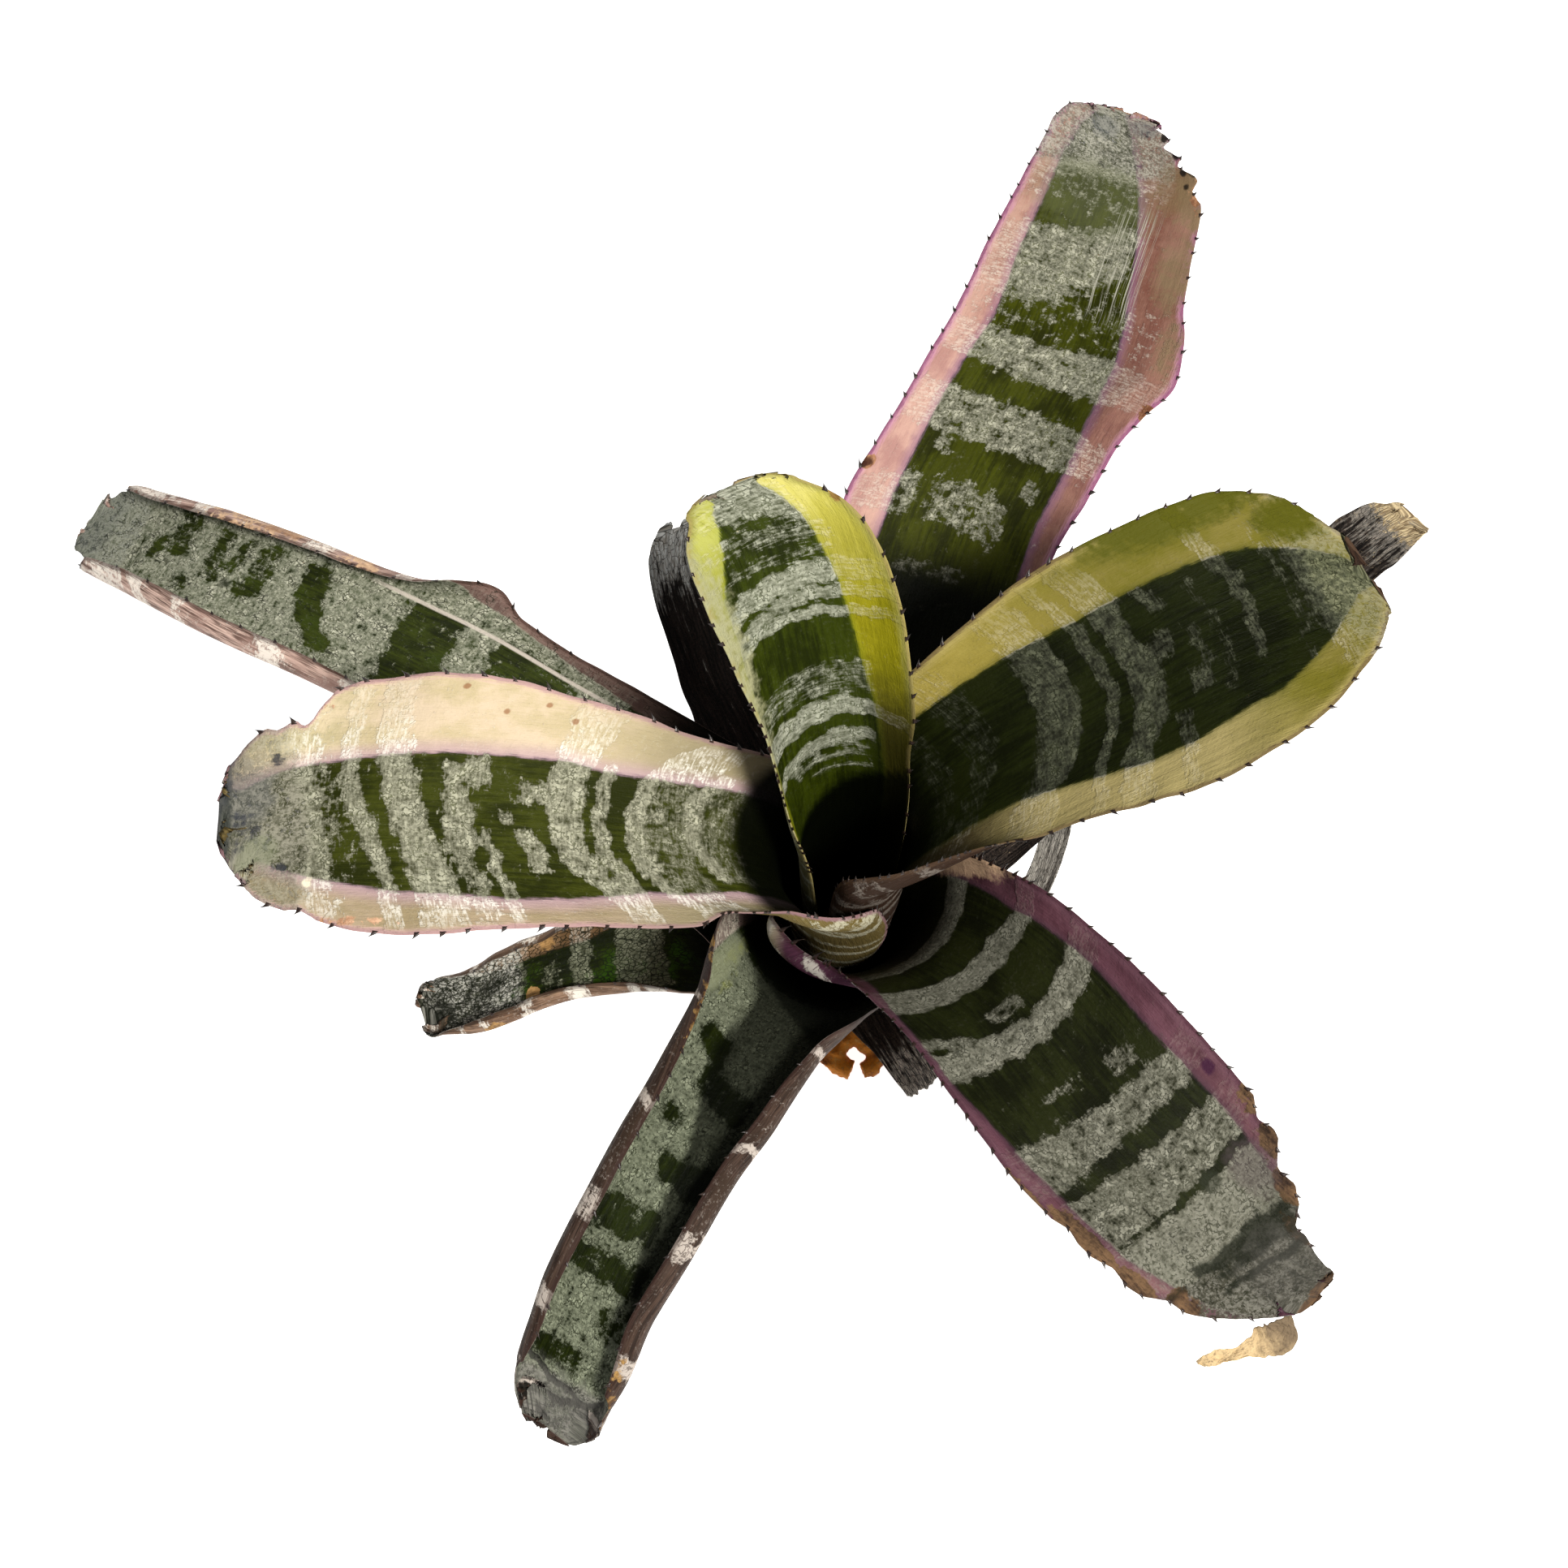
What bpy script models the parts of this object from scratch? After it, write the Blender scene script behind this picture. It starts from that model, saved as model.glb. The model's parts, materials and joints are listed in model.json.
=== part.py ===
# Urn plant, bare rooted: a funnel rosette of banded, spine-edged leaves on a short stem and a clump of roots.
# Lengths are written in millimetres and turned into metres when the meshes are made.  Z is up, the rosette axis is
# the Z axis, and the flat underside of the root clump stands on Z = 0.
import bpy
import bmesh
import math
import numpy as np

MM = 0.001

# Every leaf is a thin closed blade laid on its own funnel round the axis; the funnels nest, older leaves outside.
# A row of a leaf: r, z of the midrib, its azimuth in degrees, the half widths on the anticlockwise and the
# clockwise side along the surface, how far the margins are rolled up in degrees on each side, and the channel depth.
LEAVES = {
    "leaf_upright_inner": dict(strip=8, th=(1.2, 0.8), tooth=(20, 8.6, 2.1), cols=(4, 1), wave=(0.5, 31, 0.4), rows=[
        (9.6, 47.0, 108, 22, 22, 0, 0, 0), (10.6, 52, 108, 25, 25, 0, 0, 0), (12.3, 80, 108, 28, 28, 0, 0, 0),
        (13.5, 110, 108, 28, 28, 0, 0, 0), (14.5, 138, 108, 27, 27, 10, 0, 0), (17, 154, 107, 26, 25, 25, 5, 0),
        (22, 168, 107, 23, 24, 25, 5, 0.5), (30, 183, 106, 22, 26, 15, 5, 1.5), (45, 202, 106.5, 26, 26, 5, 5, 3),
        (55, 212, 108, 27, 25.5, 0, 5, 4), (62, 218, 109, 27, 23, 0, 0, 4), (68, 222, 111, 24, 20, 0, 0, 3.5),
        (73, 225, 113.5, 17, 14, 0, 0, 2.5), (77, 227, 116, 0, 0, 0, 0, 0)]),
    "leaf_right": dict(strip=9, th=(1.2, 0.8), tooth=(21, 8.8, 2.2), cols=(4, 1), wave=(0.6, 37, 1.1), rows=[
        (9.6, 44.0, 23, 22, 22, 0, 0, 0), (12.2, 48.5, 23, 27, 28, 0, 0, 0), (15, 80, 23, 33, 35, 0, 0, 0),
        (16.2, 110, 23, 35, 38, 0, 0, 0), (16.6, 135, 23, 36, 39, 0, 25, 0), (17.6, 148, 23, 35, 40, 0, 60, 0),
        (21, 158, 23, 33, 37, 0, 80, 0), (28, 167, 23, 32, 34, 0, 85, 0.5), (40, 178, 23, 32, 33, 0, 60, 1.5),
        (55, 187, 23, 34, 33.5, 5, 10, 3), (75, 196, 23, 36.5, 38, 5, 0, 4), (92, 203, 23, 36, 40.5, 0, 0, 4.5),
        (106, 206, 23, 35, 38.5, 0, 0, 4.5), (119, 207, 23, 33.5, 34, 0, 0, 4), (130, 207, 23, 29, 27.5, 0, 0, 3.5),
        (138, 205.5, 22.7, 22.5, 20.5, 0, 0, 3), (143.5, 204, 22, 13.5, 12.5, 0, 0, 2), (147, 203, 21.2, 0, 0, 0, 0, 0)]),
    "leaf_left": dict(strip=9, th=(1.2, 0.8), tooth=(24, 8.8, 2.2), cols=(4, 1), wave=(0.7, 43, 2.0), rows=[
        (9.6, 41.0, 181, 22, 22, 0, 0, 0), (13.1, 45.3, 181, 29, 28, 0, 0, 0), (17.2, 75, 181, 38, 34, 0, 0, 0),
        (19.5, 100, 181, 43, 37, 0, 0, 0), (21, 120, 181, 45, 38, 25, 0, 0), (22.4, 133, 181, 45, 37, 55, 5, 0),
        (25.5, 141, 181, 41, 33, 65, 15, 0), (32, 149, 181, 30, 28, 60, 25, 0.5), (45, 158, 181, 29, 27, 30, 20, 2),
        (54, 163.5, 181, 33, 27.5, 5, 5, 3), (65, 169, 181, 34, 29.5, 0, 0, 3.5), (80, 174.5, 181, 34.5, 32.5, 0, 0, 4),
        (100, 180.5, 181, 35.5, 36, 0, 0, 4), (118, 184, 181, 37.5, 36.5, -5, 0, 3.5), (133, 184.5, 181, 36, 35, -10, 0, 3),
        (144, 184, 181, 32, 31, -10, 0, 2.5), (149, 183.5, 181, 30, 23.5, -10, 0, 2), (158, 182, 181, 25.5, 21.5, 0, 5, 1.5),
        (164, 180.5, 181, 18, 18, 0, 0, 1), (168, 179.5, 180.5, 13, 12, 0, 0, 0.5), (170.5, 179, 180, 0, 0, 0, 0, 0)]),
    "leaf_lower_right": dict(strip=9, th=(1.2, 0.8), tooth=(27, 9.0, 2.1), cols=(4, 1), wave=(0.7, 47, 0.2), rows=[
        (9.6, 38.0, -41, 22, 22, 0, 0, 0), (13.8, 42, -41, 28, 30, 0, 0, 0), (17.2, 50, -41, 31, 37, 0, 0, 0), (20, 65, -41, 33, 44, 0, 0, 0),
        (23.5, 82, -41, 35, 53, 0, 15, 0), (28, 97, -41, 37, 58, 5, 50, 0), (30, 103, -41, 36, 50, 10, 75, 0),
        (33, 110, -41, 34, 37, 15, 70, 0), (38, 117, -41, 32, 33, 15, 45, 1), (48, 126, -41.5, 31, 32, 10, 25, 2),
        (62, 135, -43, 31, 33, 5, 20, 3), (80, 141, -46, 32.5, 33.5, 5, 20, 3.5), (104, 144, -48, 33, 33.5, 10, 25, 3.5),
        (130, 142, -47.5, 30.5, 33, 15, 25, 3), (145, 139, -47.3, 24.5, 29.5, 20, 20, 2.5), (157, 135, -47, 17, 22, 10, 5, 2),
        (166, 131, -46, 11.5, 14.5, 0, 0, 1.5), (173, 128, -45, 8.5, 8.5, 0, 0, 0.5), (177, 126.5, -44, 0, 0, 0, 0, 0)]),
    "leaf_upper_right": dict(strip=9, th=(1.2, 0.8), tooth=(60, 10.5, 2.1), cols=(4, 1), wave=(0.8, 53, 1.5), rows=[
        (9.6, 35.0, 70, 22, 22, 0, 0, 0), (14.6, 39.3, 70, 30, 30, 0, 0, 0), (19.3, 48, 70, 36, 36, 0, 0, 0), (22.5, 58, 70, 40, 40, 0, 0, 0),
        (27, 75, 70, 43, 43, 0, 0, 0), (33, 92, 70, 42, 42, 0, 0, 0), (42, 106, 70, 38, 38, 0, 0, 1),
        (55, 117, 70.5, 34, 34, 0, 0, 2), (75, 127, 71.5, 33, 32, 0, 0, 3), (97, 134.5, 72, 35, 31, 0, 0, 4),
        (115, 140, 71.5, 37, 31.5, 0, 0, 4), (132, 144, 70.3, 35.5, 33, 0, 0, 4), (150, 147, 69.2, 34, 33.5, 0, 0, 4),
        (165, 149.5, 68.3, 34, 36, 0, 0, 3.5), (179, 151.5, 67.5, 34.5, 39, 0, 0, 3.5), (190, 152, 67.5, 34, 37, 0, 0, 3.5),
        (201, 151.5, 67.8, 33, 34, 0, 0, 3.5), (219, 151, 68, 31, 31.5, 0, 0, 3), (240, 149.5, 68.2, 29.5, 29.5, 0, 0, 2.5),
        (255, 146.5, 68.6, 27, 25.5, 0, 0, 2), (265, 144, 69.2, 24, 20.5, 0, 0, 2), (274, 141.5, 69.6, 20, 16.5, 0, 0, 1.5),
        (281, 139, 69.8, 14.5, 13.5, 0, 0, 1), (285, 137.5, 69.8, 0, 0, 0, 0, 0)]),
    "leaf_lower": dict(strip=14, th=(1.2, 0.8), tooth=(60, 11.5, 1.8), cols=(4, 3), wave=(0.5, 41, 2.2), rows=[
        (9.6, 32.0, 242, 22, 22, 0, 0, 0), (15.5, 36.3, 242, 31, 31, 0, 0, 0), (21.3, 44, 242, 36, 38, 0, 0, 0),
        (25.2, 54, 242, 37, 43, 0, 0, 0), (29.5, 66, 242, 36, 44, 0, 0, 0), (35, 79, 242, 31, 42, 10, 10, 0), (43, 90, 242, 29, 38, 40, 30, 0.5),
        (51, 96.5, 241, 29, 35, 90, 90, 1), (60, 101.5, 240, 29, 31, 140, 140, 1.5), (80, 108, 240, 29, 29.5, 185, 185, 1.5),
        (100, 112.5, 239.8, 27.5, 28, 195, 195, 1.5), (120, 113.5, 240, 27, 27, 195, 195, 1.5), (140, 110.5, 240.2, 25.5, 26, 190, 190, 1.5),
        (155, 105.5, 240.8, 24.5, 24.5, 170, 180, 1.5), (165, 101.5, 241, 21, 21.5, 130, 150, 1), (173, 97.5, 241.3, 15.5, 15, 60, 90, 0.5),
        (179, 94.5, 241.5, 9.5, 9, 20, 40, 0), (182, 93, 241.5, 0, 0, 0, 0, 0)]),
    "leaf_far_left": dict(strip=13, th=(1.2, 0.8), tooth=(120, 13.0, 1.8), cols=(4, 3), wave=(0.6, 61, 0.9), rows=[
        (9.6, 29.0, 150, 22, 22, 0, 0, 0), (16.5, 33, 150, 31, 31, 0, 0, 0), (23.2, 40, 150, 37, 37, 0, 0, 0),
        (28.5, 50, 150.3, 40, 40, 0, 0, 0), (34, 60, 150.5, 40, 40, 0, 0, 0), (40, 70, 151, 38, 38, 0, 0, 0), (50, 81, 151.5, 34, 34, 10, 10, 1),
        (66, 91, 152, 32, 29, 20, 25, 1.5), (90, 101, 152.5, 30, 27.5, 40, 45, 2), (115, 109.5, 153, 29.5, 27.5, 60, 60, 2),
        (132, 114.5, 153, 30, 28, 90, 45, 2), (145, 118, 153.2, 30, 33, 130, 15, 2), (153, 120.5, 153.5, 30, 31.5, 150, 80, 2),
        (165, 123.5, 153.8, 30, 30, 175, 150, 2), (190, 128.5, 154.3, 30, 29, 195, 185, 2), (221, 129.5, 154.7, 28.5, 27.5, 195, 190, 2),
        (240, 127.5, 154.7, 26.5, 25.5, 185, 185, 1.5), (254, 123.5, 154.7, 24, 24, 150, 170, 1), (263, 120, 154.6, 19, 21, 80, 130, 0.5),
        (270, 117, 154.5, 13, 14, 20, 50, 0), (274, 115.5, 154.5, 0, 0, 0, 0, 0)]),
    "withered_leaf_left": dict(strip=10, th=(1.1, 0.8), tooth=(60, 16.0, 1.4), cols=(3, 3), wave=(0.9, 23, 0.3), rows=[
        (9.6, 23.0, 190, 17, 17, 0, 0, 0), (18.5, 26, 190, 24, 24, 0, 0, 0), (28, 32, 189, 27, 27, 0, 0, 0),
        (40, 40, 187, 26, 26, 30, 30, 0), (58, 49, 185, 22.5, 22.5, 90, 90, 0.5), (75, 48.5, 186.3, 20, 20, 150, 150, 1),
        (90, 46.5, 187, 19, 19, 170, 170, 1), (105, 43.5, 188.5, 19, 19, 180, 175, 1), (125, 38, 190, 17.5, 15.5, 170, 160, 1),
        (139, 34, 189.7, 13, 10.5, 90, 100, 0.5), (147.5, 32, 189, 0, 0, 0, 0, 0)]),
    "dried_leaf_back": dict(strip=7, th=(1.0, 0.8), tooth=(0, 0, 0), cols=(3, 1), wave=(1.3, 29, 0.8), rows=[
        (9.6, 26.0, 118, 16, 16, 0, 0, 0), (17.5, 29.5, 118, 22, 22, 0, 0, 0), (26, 37, 118.5, 25, 25, 0, 0, 0),
        (34.5, 48, 119, 24, 24, 10, 10, 0), (50, 66, 120, 20, 20, 30, 30, 1), (70, 80, 120.5, 15.5, 16, 50, 50, 2),
        (85, 87, 120.5, 11.5, 14, 50, 40, 2), (100, 93, 119.3, 9.5, 13, 30, 30, 2), (115, 97, 118, 9, 12, 20, 10, 1.5),
        (130, 99, 116, 8.5, 10, 10, 10, 1), (138, 99.5, 114.2, 6, 6.5, 0, 0, 0.5), (141, 99.5, 113, 0, 0, 0, 0, 0)]),
    "dried_leaf_right": dict(strip=7, th=(1.0, 0.8), tooth=(0, 0, 0), cols=(3, 1), wave=(1.6, 33, 1.9), rows=[
        (9.6, 20.0, 33, 15, 15, 0, 0, 0), (19.5, 23, 33, 22, 22, 0, 0, 0), (30, 28, 33, 22, 22, 0, 0, 0),
        (45, 37, 33.5, 19, 19, 20, 20, 1), (70, 49, 34, 15, 15, 50, 50, 2), (110, 59, 34.5, 13, 13, 70, 70, 2),
        (160, 68, 35, 13, 13, 60, 60, 2), (200, 73, 35.3, 13, 13, 50, 50, 2.5), (225, 74.5, 35.5, 12.5, 12.5, 30, 30, 2.5),
        (240, 74.5, 35.6, 10.5, 10.5, 20, 10, 2), (248, 74, 35.4, 8, 8, 0, 10, 1), (253, 73.5, 35, 0, 0, 0, 0, 0)]),
    "dried_leaf_bent": dict(strip=5, th=(1.0, 0.8), tooth=(0, 0, 0), cols=(3, 1), wave=(0.8, 27, 0.1), rows=[
        (9.6, 17.0, -25, 14, 14, 0, 0, 0), (20, 20, -22, 19, 19, 0, 0, 0), (30, 24.5, -18, 16, 16, 10, 10, 0),
        (45, 32, -9, 11, 11, 40, 30, 1), (60, 39.5, 3, 8.5, 8.5, 60, 40, 1.5), (70, 43, 13, 7.5, 7.5, 60, 40, 1.5),
        (80, 45, 22, 7.5, 7, 50, 40, 1), (88, 45.5, 28, 6, 6, 30, 30, 1), (94, 46, 32, 3.5, 3.5, 10, 10, 0.5),
        (97, 46, 33.5, 0, 0, 0, 0, 0)]),
    "dried_leaf_stub": dict(strip=5, th=(1.0, 0.9), tooth=(0, 0, 0), cols=(3, 1), wave=(0.6, 19, 0.6), rows=[
        (9.6, 14.0, -60, 14, 14, 0, 0, 0), (20, 16.8, -60, 15, 14, 0, 0, 0), (31, 20.3, -61, 11, 10, 20, 20, 0),
        (42, 23.5, -61, 9, 8, 40, 40, 0.5), (52, 25, -60.5, 7.5, 7, 30, 30, 0.5), (58.5, 25, -60.5, 6.5, 6, 20, 20, 0.5)]),
}


def monotone(xs, ys, x):
    """Monotone cubic interpolation of ys over xs at x."""
    xs, ys = np.asarray(xs, float), np.asarray(ys, float)
    h = np.diff(xs)
    d = np.diff(ys) / h
    m = np.zeros(len(xs))
    for i in range(1, len(xs) - 1):
        if d[i - 1] * d[i] > 0:
            w1, w2 = 2 * h[i] + h[i - 1], h[i] + 2 * h[i - 1]
            m[i] = (w1 + w2) / (w1 / d[i - 1] + w2 / d[i])
    m[0], m[-1] = d[0], d[-1]
    k = np.clip(np.searchsorted(xs, x, side="right") - 1, 0, len(h) - 1)
    t = (x - xs[k]) / h[k]
    return ((1 + 2 * t) * (1 - t) ** 2 * ys[k] + t * (1 - t) ** 2 * h[k] * m[k]
            + t * t * (3 - 2 * t) * ys[k + 1] + t * t * (t - 1) * h[k] * m[k + 1])


class Leaf:
    """The inner face of one leaf as a function of the length along its midrib and the place across it."""

    def __init__(self, spec):
        self.spec = spec
        rows = np.array(spec["rows"], float)
        az = np.radians(rows[:, 2])
        step = np.sqrt(np.diff(rows[:, 0]) ** 2 + np.diff(rows[:, 1]) ** 2
                       + (0.5 * (rows[1:, 0] + rows[:-1, 0]) * np.diff(az)) ** 2)
        self.knots = np.concatenate([[0], np.cumsum(step)])
        self.rows = rows
        self.length = self.knots[-1]

    def at(self, s, column):
        return monotone(self.knots, self.rows[:, column], s)

    def width(self, s, column):
        """Half width; the last span closes as a quarter ellipse."""
        k = self.knots
        w = monotone(k[:-1], self.rows[:-1, column], min(s, k[-2]))
        if self.rows[-1, column] > 0:
            return float(self.at(s, column))
        if s > k[-2]:
            x = (s - k[-2]) / (k[-1] - k[-2])
            w = w * math.sqrt(max(0.0, 1 - x * x))
        return max(float(w), 0.35)

    def point(self, s, t):
        """t runs from -1 on the clockwise margin to 1 on the anticlockwise margin."""
        s = min(max(s, 0.0), self.length)
        r, z = float(self.at(s, 0)), float(self.at(s, 1))
        e = 0.5
        r2, z2 = float(self.at(min(s + e, self.length), 0)), float(self.at(min(s + e, self.length), 1))
        r1, z1 = float(self.at(max(s - e, 0), 0)), float(self.at(max(s - e, 0), 1))
        dr, dz = r2 - r1, z2 - z1
        n = math.hypot(dr, dz)
        nr, nz = -dz / n, dr / n
        side = 1 if t >= 0 else -1
        w = self.width(s, 3 if side > 0 else 4)
        roll = math.radians(float(self.at(s, 5 if side > 0 else 6)))
        lift = float(self.at(s, 7))
        strip = min(self.spec["strip"], 0.55 * w)
        flat = w - strip
        a = abs(t) * w
        amp, period, phase = self.spec["wave"]
        u = min(a, flat)
        x, up = u, lift * (a / max(w, 1e-6)) ** 2
        up += amp * (a / w) ** 3 * math.sin(2 * math.pi * s / period + phase + (0.0 if side > 0 else 2.1)) * min(1.0, max(0.0, (r - 22) / 30)) * min(1.0, w / 12)
        if a > flat:
            v = a - flat
            k = roll / strip
            if abs(k) > 1e-4:
                x += math.sin(k * v) / k
                up += (1 - math.cos(k * v)) / k
            else:
                x += v
        th = math.radians(float(self.at(s, 2))) + side * x / r
        rr = r + nr * up
        return np.array([rr * math.cos(th), rr * math.sin(th), z + nz * up])


def across_places(leaf, s):
    """Places across the blade: evenly round the sheath, and split at the margin strip in the blade."""
    r = float(leaf.at(s, 0))
    wl, wr = leaf.width(s, 3), leaf.width(s, 4)
    wrap = math.degrees((wl + wr) / r)
    flat_n, strip_n = leaf.spec["cols"]
    if wrap > 21 * (flat_n + 2) or s == 0.0:
        n = max(flat_n + 2 * strip_n, 2 * math.ceil(wrap / 42))
        u = np.linspace(-wr, wl, n + 1)
        return [float(v / (wl if v > 0 else wr)) for v in u]
    places = []
    for side, w in ((-1, wr), (1, wl)):
        f = 1 - min(leaf.spec["strip"], 0.55 * w) / w
        half = [f * i / (flat_n / 2) for i in range(1, flat_n // 2 + 1)]
        half += [f + (1 - f) * i / strip_n for i in range(1, strip_n + 1)]
        places += [-v for v in half[::-1]] + [0.0] if side < 0 else half
    return places


def leaf_mesh(spec):
    """Vertices and triangles of one leaf as a closed blade with its marginal spines."""
    leaf = Leaf(spec)
    tooth_r, pitch, tooth_h = spec["tooth"]
    # rows along the leaf: wide steps in the sheath, a short row pair at every spine along the margins
    stations, flags = [0.0], []
    s = 0.0
    s_teeth = leaf.length if tooth_h == 0 else float(np.interp(tooth_r, leaf.rows[:, 0], leaf.knots))
    while True:
        if s < s_teeth:
            step = 5.0 if s < 9 else 12.0
            nxt, flag = s + step, False
            if tooth_h and nxt > s_teeth - 4:
                nxt = s_teeth
        elif flags and not flags[-1]:
            nxt, flag = s + 2.6, True
        else:
            nxt, flag = s + pitch - 2.6, False
        if nxt > leaf.length - 3.5:
            break
        stations.append(nxt)
        flags.append(flag)
        s = nxt
    for extra in (leaf.length - 1.3, leaf.length):
        stations.append(extra)
        flags.append(False)
    places = [across_places(leaf, s) for s in stations]
    starts = np.concatenate([[0], np.cumsum([len(p) for p in places])])
    off = int(starts[-1])

    def spot(s, t):
        """A point of the inner face and the outward normal of the outer face there."""
        p = leaf.point(s, t)
        d = 0.4
        a = leaf.point(min(s + d, leaf.length), t) - leaf.point(max(s - d, 0.0), t)
        w = leaf.width(s, 3 if t >= 0 else 4)
        e = min(0.3, 0.3 * w) / w
        hi, lo = min(t + e, 1.0), max(t - e, -1.0)
        c = leaf.point(s, hi) - leaf.point(s, lo)
        n = np.cross(a, c)
        return p, n / (np.linalg.norm(n) + 1e-12)

    top, bottom = [], []
    for s, row in zip(stations, places):
        thick = spec["th"][0] + (spec["th"][1] - spec["th"][0]) * min(1.0, s / leaf.length / 0.5)
        for t in row:
            p, n = spot(s, t)
            top.append(p)
            bottom.append(p - n * thick)
    verts = np.array(top + bottom)
    tris, extra = [], []
    for i in range(len(stations) - 1):
        p, q = places[i], places[i + 1]
        a, b = int(starts[i]), int(starts[i + 1])
        j = k = 0
        while j < len(p) - 1 or k < len(q) - 1:      # the same triangles on both faces
            if k == len(q) - 1 or (j < len(p) - 1 and (p[j + 1] + 1) * (1 + 1e-6) + (1e-3 if p[j] >= 0 else -1e-3) < (q[k + 1] + 1)):
                tri = (a + j, b + k, a + j + 1)
                j += 1
            else:
                tri = (a + j, b + k, b + k + 1)
                k += 1
            tris.append(tri)
            tris.append((tri[0] + off, tri[2] + off, tri[1] + off))
        for left in (True, False):
            j, k = (0, 0) if left else (len(p) - 1, len(q) - 1)
            jn, kn = (1, 1) if left else (j - 1, k - 1)
            ring = [a + j, a + j + off, b + k + off, b + k]
            if not left:
                ring = ring[::-1]
            if flags[i]:
                centre = verts[ring].mean(axis=0)
                out = verts[a + j] - verts[a + jn] + verts[b + k] - verts[b + kn]
                out /= np.linalg.norm(out)
                tip = verts[b + k] - verts[a + j]
                tip /= np.linalg.norm(tip)
                extra.append(centre + tooth_h * out + 0.55 * tooth_h * tip)
                apex = 2 * off + len(extra) - 1
                for u, v in zip(ring, ring[1:] + ring[:1]):
                    tris.append((u, v, apex))
            else:
                tris += [(ring[0], ring[1], ring[2]), (ring[0], ring[2], ring[3])]
    for row, first in ((0, True), (len(stations) - 1, False)):
        a = int(starts[row])
        for j in range(len(places[row]) - 1):
            ring = [a + j, a + j + 1, a + j + 1 + off, a + j + off]
            if not first:
                ring = ring[::-1]
            tris += [(ring[0], ring[1], ring[2]), (ring[0], ring[2], ring[3])]
    if extra:
        verts = np.concatenate([verts, np.array(extra)])
    return verts, tris
# ---- end of the leaf generator ----


def lathe(profile, n=28):
    """Closed solid of revolution about Z through (r, z) points that start and end on the axis."""
    verts, faces = [(0, 0, profile[0][1])], []
    rings = profile[1:-1]
    for r, z in rings:
        for k in range(n):
            a = 2 * math.pi * k / n
            verts.append((r * math.cos(a), r * math.sin(a), z))
    verts.append((0, 0, profile[-1][1]))
    last = len(verts) - 1
    for k in range(n):
        k2 = (k + 1) % n
        faces.append((0, 1 + k2, 1 + k))
        for i in range(len(rings) - 1):
            a, b = 1 + i * n + k, 1 + i * n + k2
            faces.append((a, b, b + n, a + n))
        e = 1 + (len(rings) - 1) * n
        faces.append((last, e + k, e + k2))
    return np.array(verts, float), faces


def tube(path, radii, n=7):
    """Closed tube along a path of points with a radius at each."""
    path = np.array(path, float)
    verts, faces = [], []
    t = np.gradient(path, axis=0)
    t /= np.linalg.norm(t, axis=1, keepdims=True)
    ref = np.array([0.0, 0.0, 1.0]) if abs(t[0][2]) < 0.9 else np.array([1.0, 0.0, 0.0])
    u = np.cross(t[0], ref)
    for i, p in enumerate(path):
        u = u - t[i] * np.dot(u, t[i])
        u /= np.linalg.norm(u)
        v = np.cross(t[i], u)
        for k in range(n):
            a = 2 * math.pi * k / n
            verts.append(p + radii[i] * (math.cos(a) * u + math.sin(a) * v))
    m = len(path)
    for i in range(m - 1):
        for k in range(n):
            k2 = (k + 1) % n
            faces.append((i * n + k, i * n + k2, (i + 1) * n + k2, (i + 1) * n + k))
    a, b = len(verts), len(verts) + 1
    verts += [path[0] - t[0] * radii[0] * 0.5, path[-1] + t[-1] * radii[-1] * 0.7]
    for k in range(n):
        k2 = (k + 1) % n
        faces.append((a, k2, k))
        faces.append((b, (m - 1) * n + k, (m - 1) * n + k2))
    return np.array(verts, float), faces


def root_path(angle, reach, sway, rise, curl, size):
    """One root: out of the collar, down to the ground, hooking round sideways at its end."""
    pts, radii = [], []
    x, y = 5 * math.cos(math.radians(angle)), 5 * math.sin(math.radians(angle))
    steps = 13
    for i in range(steps):
        f = i / (steps - 1)
        pts.append((x, y, max(size + 0.2, 6.8 + rise * math.sin(math.pi * min(1.0, 1.25 * f)) - 3.0 * f)))
        radii.append(size * (1.1 - 0.3 * f + 0.12 * math.sin(7 * f + angle)))
        head = math.radians(angle + sway * math.sin(3.0 * f) + curl * max(0.0, f - 0.45) ** 1.4)
        x += reach / (steps - 1) * math.cos(head)
        y += reach / (steps - 1) * math.sin(head)
    return pts, radii


# angle, length, sideways sway, rise, end curl and thickness of every root of the clump
ROOTS = [(-100, 44, 22, 3, 230, 4.2), (-80, 52, -18, 1.6, 330, 4.2), (-56, 46, 20, 0.6, -300, 3.9), (-27, 44, -25, 2, 260, 3.4),
         (2, 40, 25, 3, -250, 3.6), (33, 42, -22, 3, 280, 3.5), (66, 44, 28, 3, 240, 3.6), (98, 46, -25, 3, -270, 3.6),
         (131, 47, 22, 3, 260, 3.7), (163, 40, -28, 3, -240, 3.5), (195, 43, 24, 4, 280, 3.6), (228, 45, -20, 5, -300, 4.0),
         (-90, 30, -30, 2, -200, 3.4), (-40, 27, 25, 1, 200, 3.2), (15, 26, -25, 6, 220, 3.2), (80, 27, 22, 6, -200, 3.2),
         (145, 27, -25, 6, 220, 3.2), (210, 29, 25, 7, -220, 3.3)]

SLOTS = {
    "leaf_green": (0.045, 0.075, 0.018), "leaf_dry": (0.10, 0.075, 0.05), "stem_brown": (0.16, 0.10, 0.05),
    "root_orange": (0.46, 0.17, 0.03),
}


def clear():
    for o in list(bpy.data.objects):
        bpy.data.objects.remove(o, do_unlink=True)
    for m in list(bpy.data.meshes):
        bpy.data.meshes.remove(m)


def material(name, slot):
    m = bpy.data.materials.new(name)
    m.use_nodes = True
    bsdf = m.node_tree.nodes["Principled BSDF"]
    bsdf.inputs["Base Color"].default_value = (*SLOTS[slot], 1)
    bsdf.inputs["Roughness"].default_value = 0.5
    return m


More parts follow.
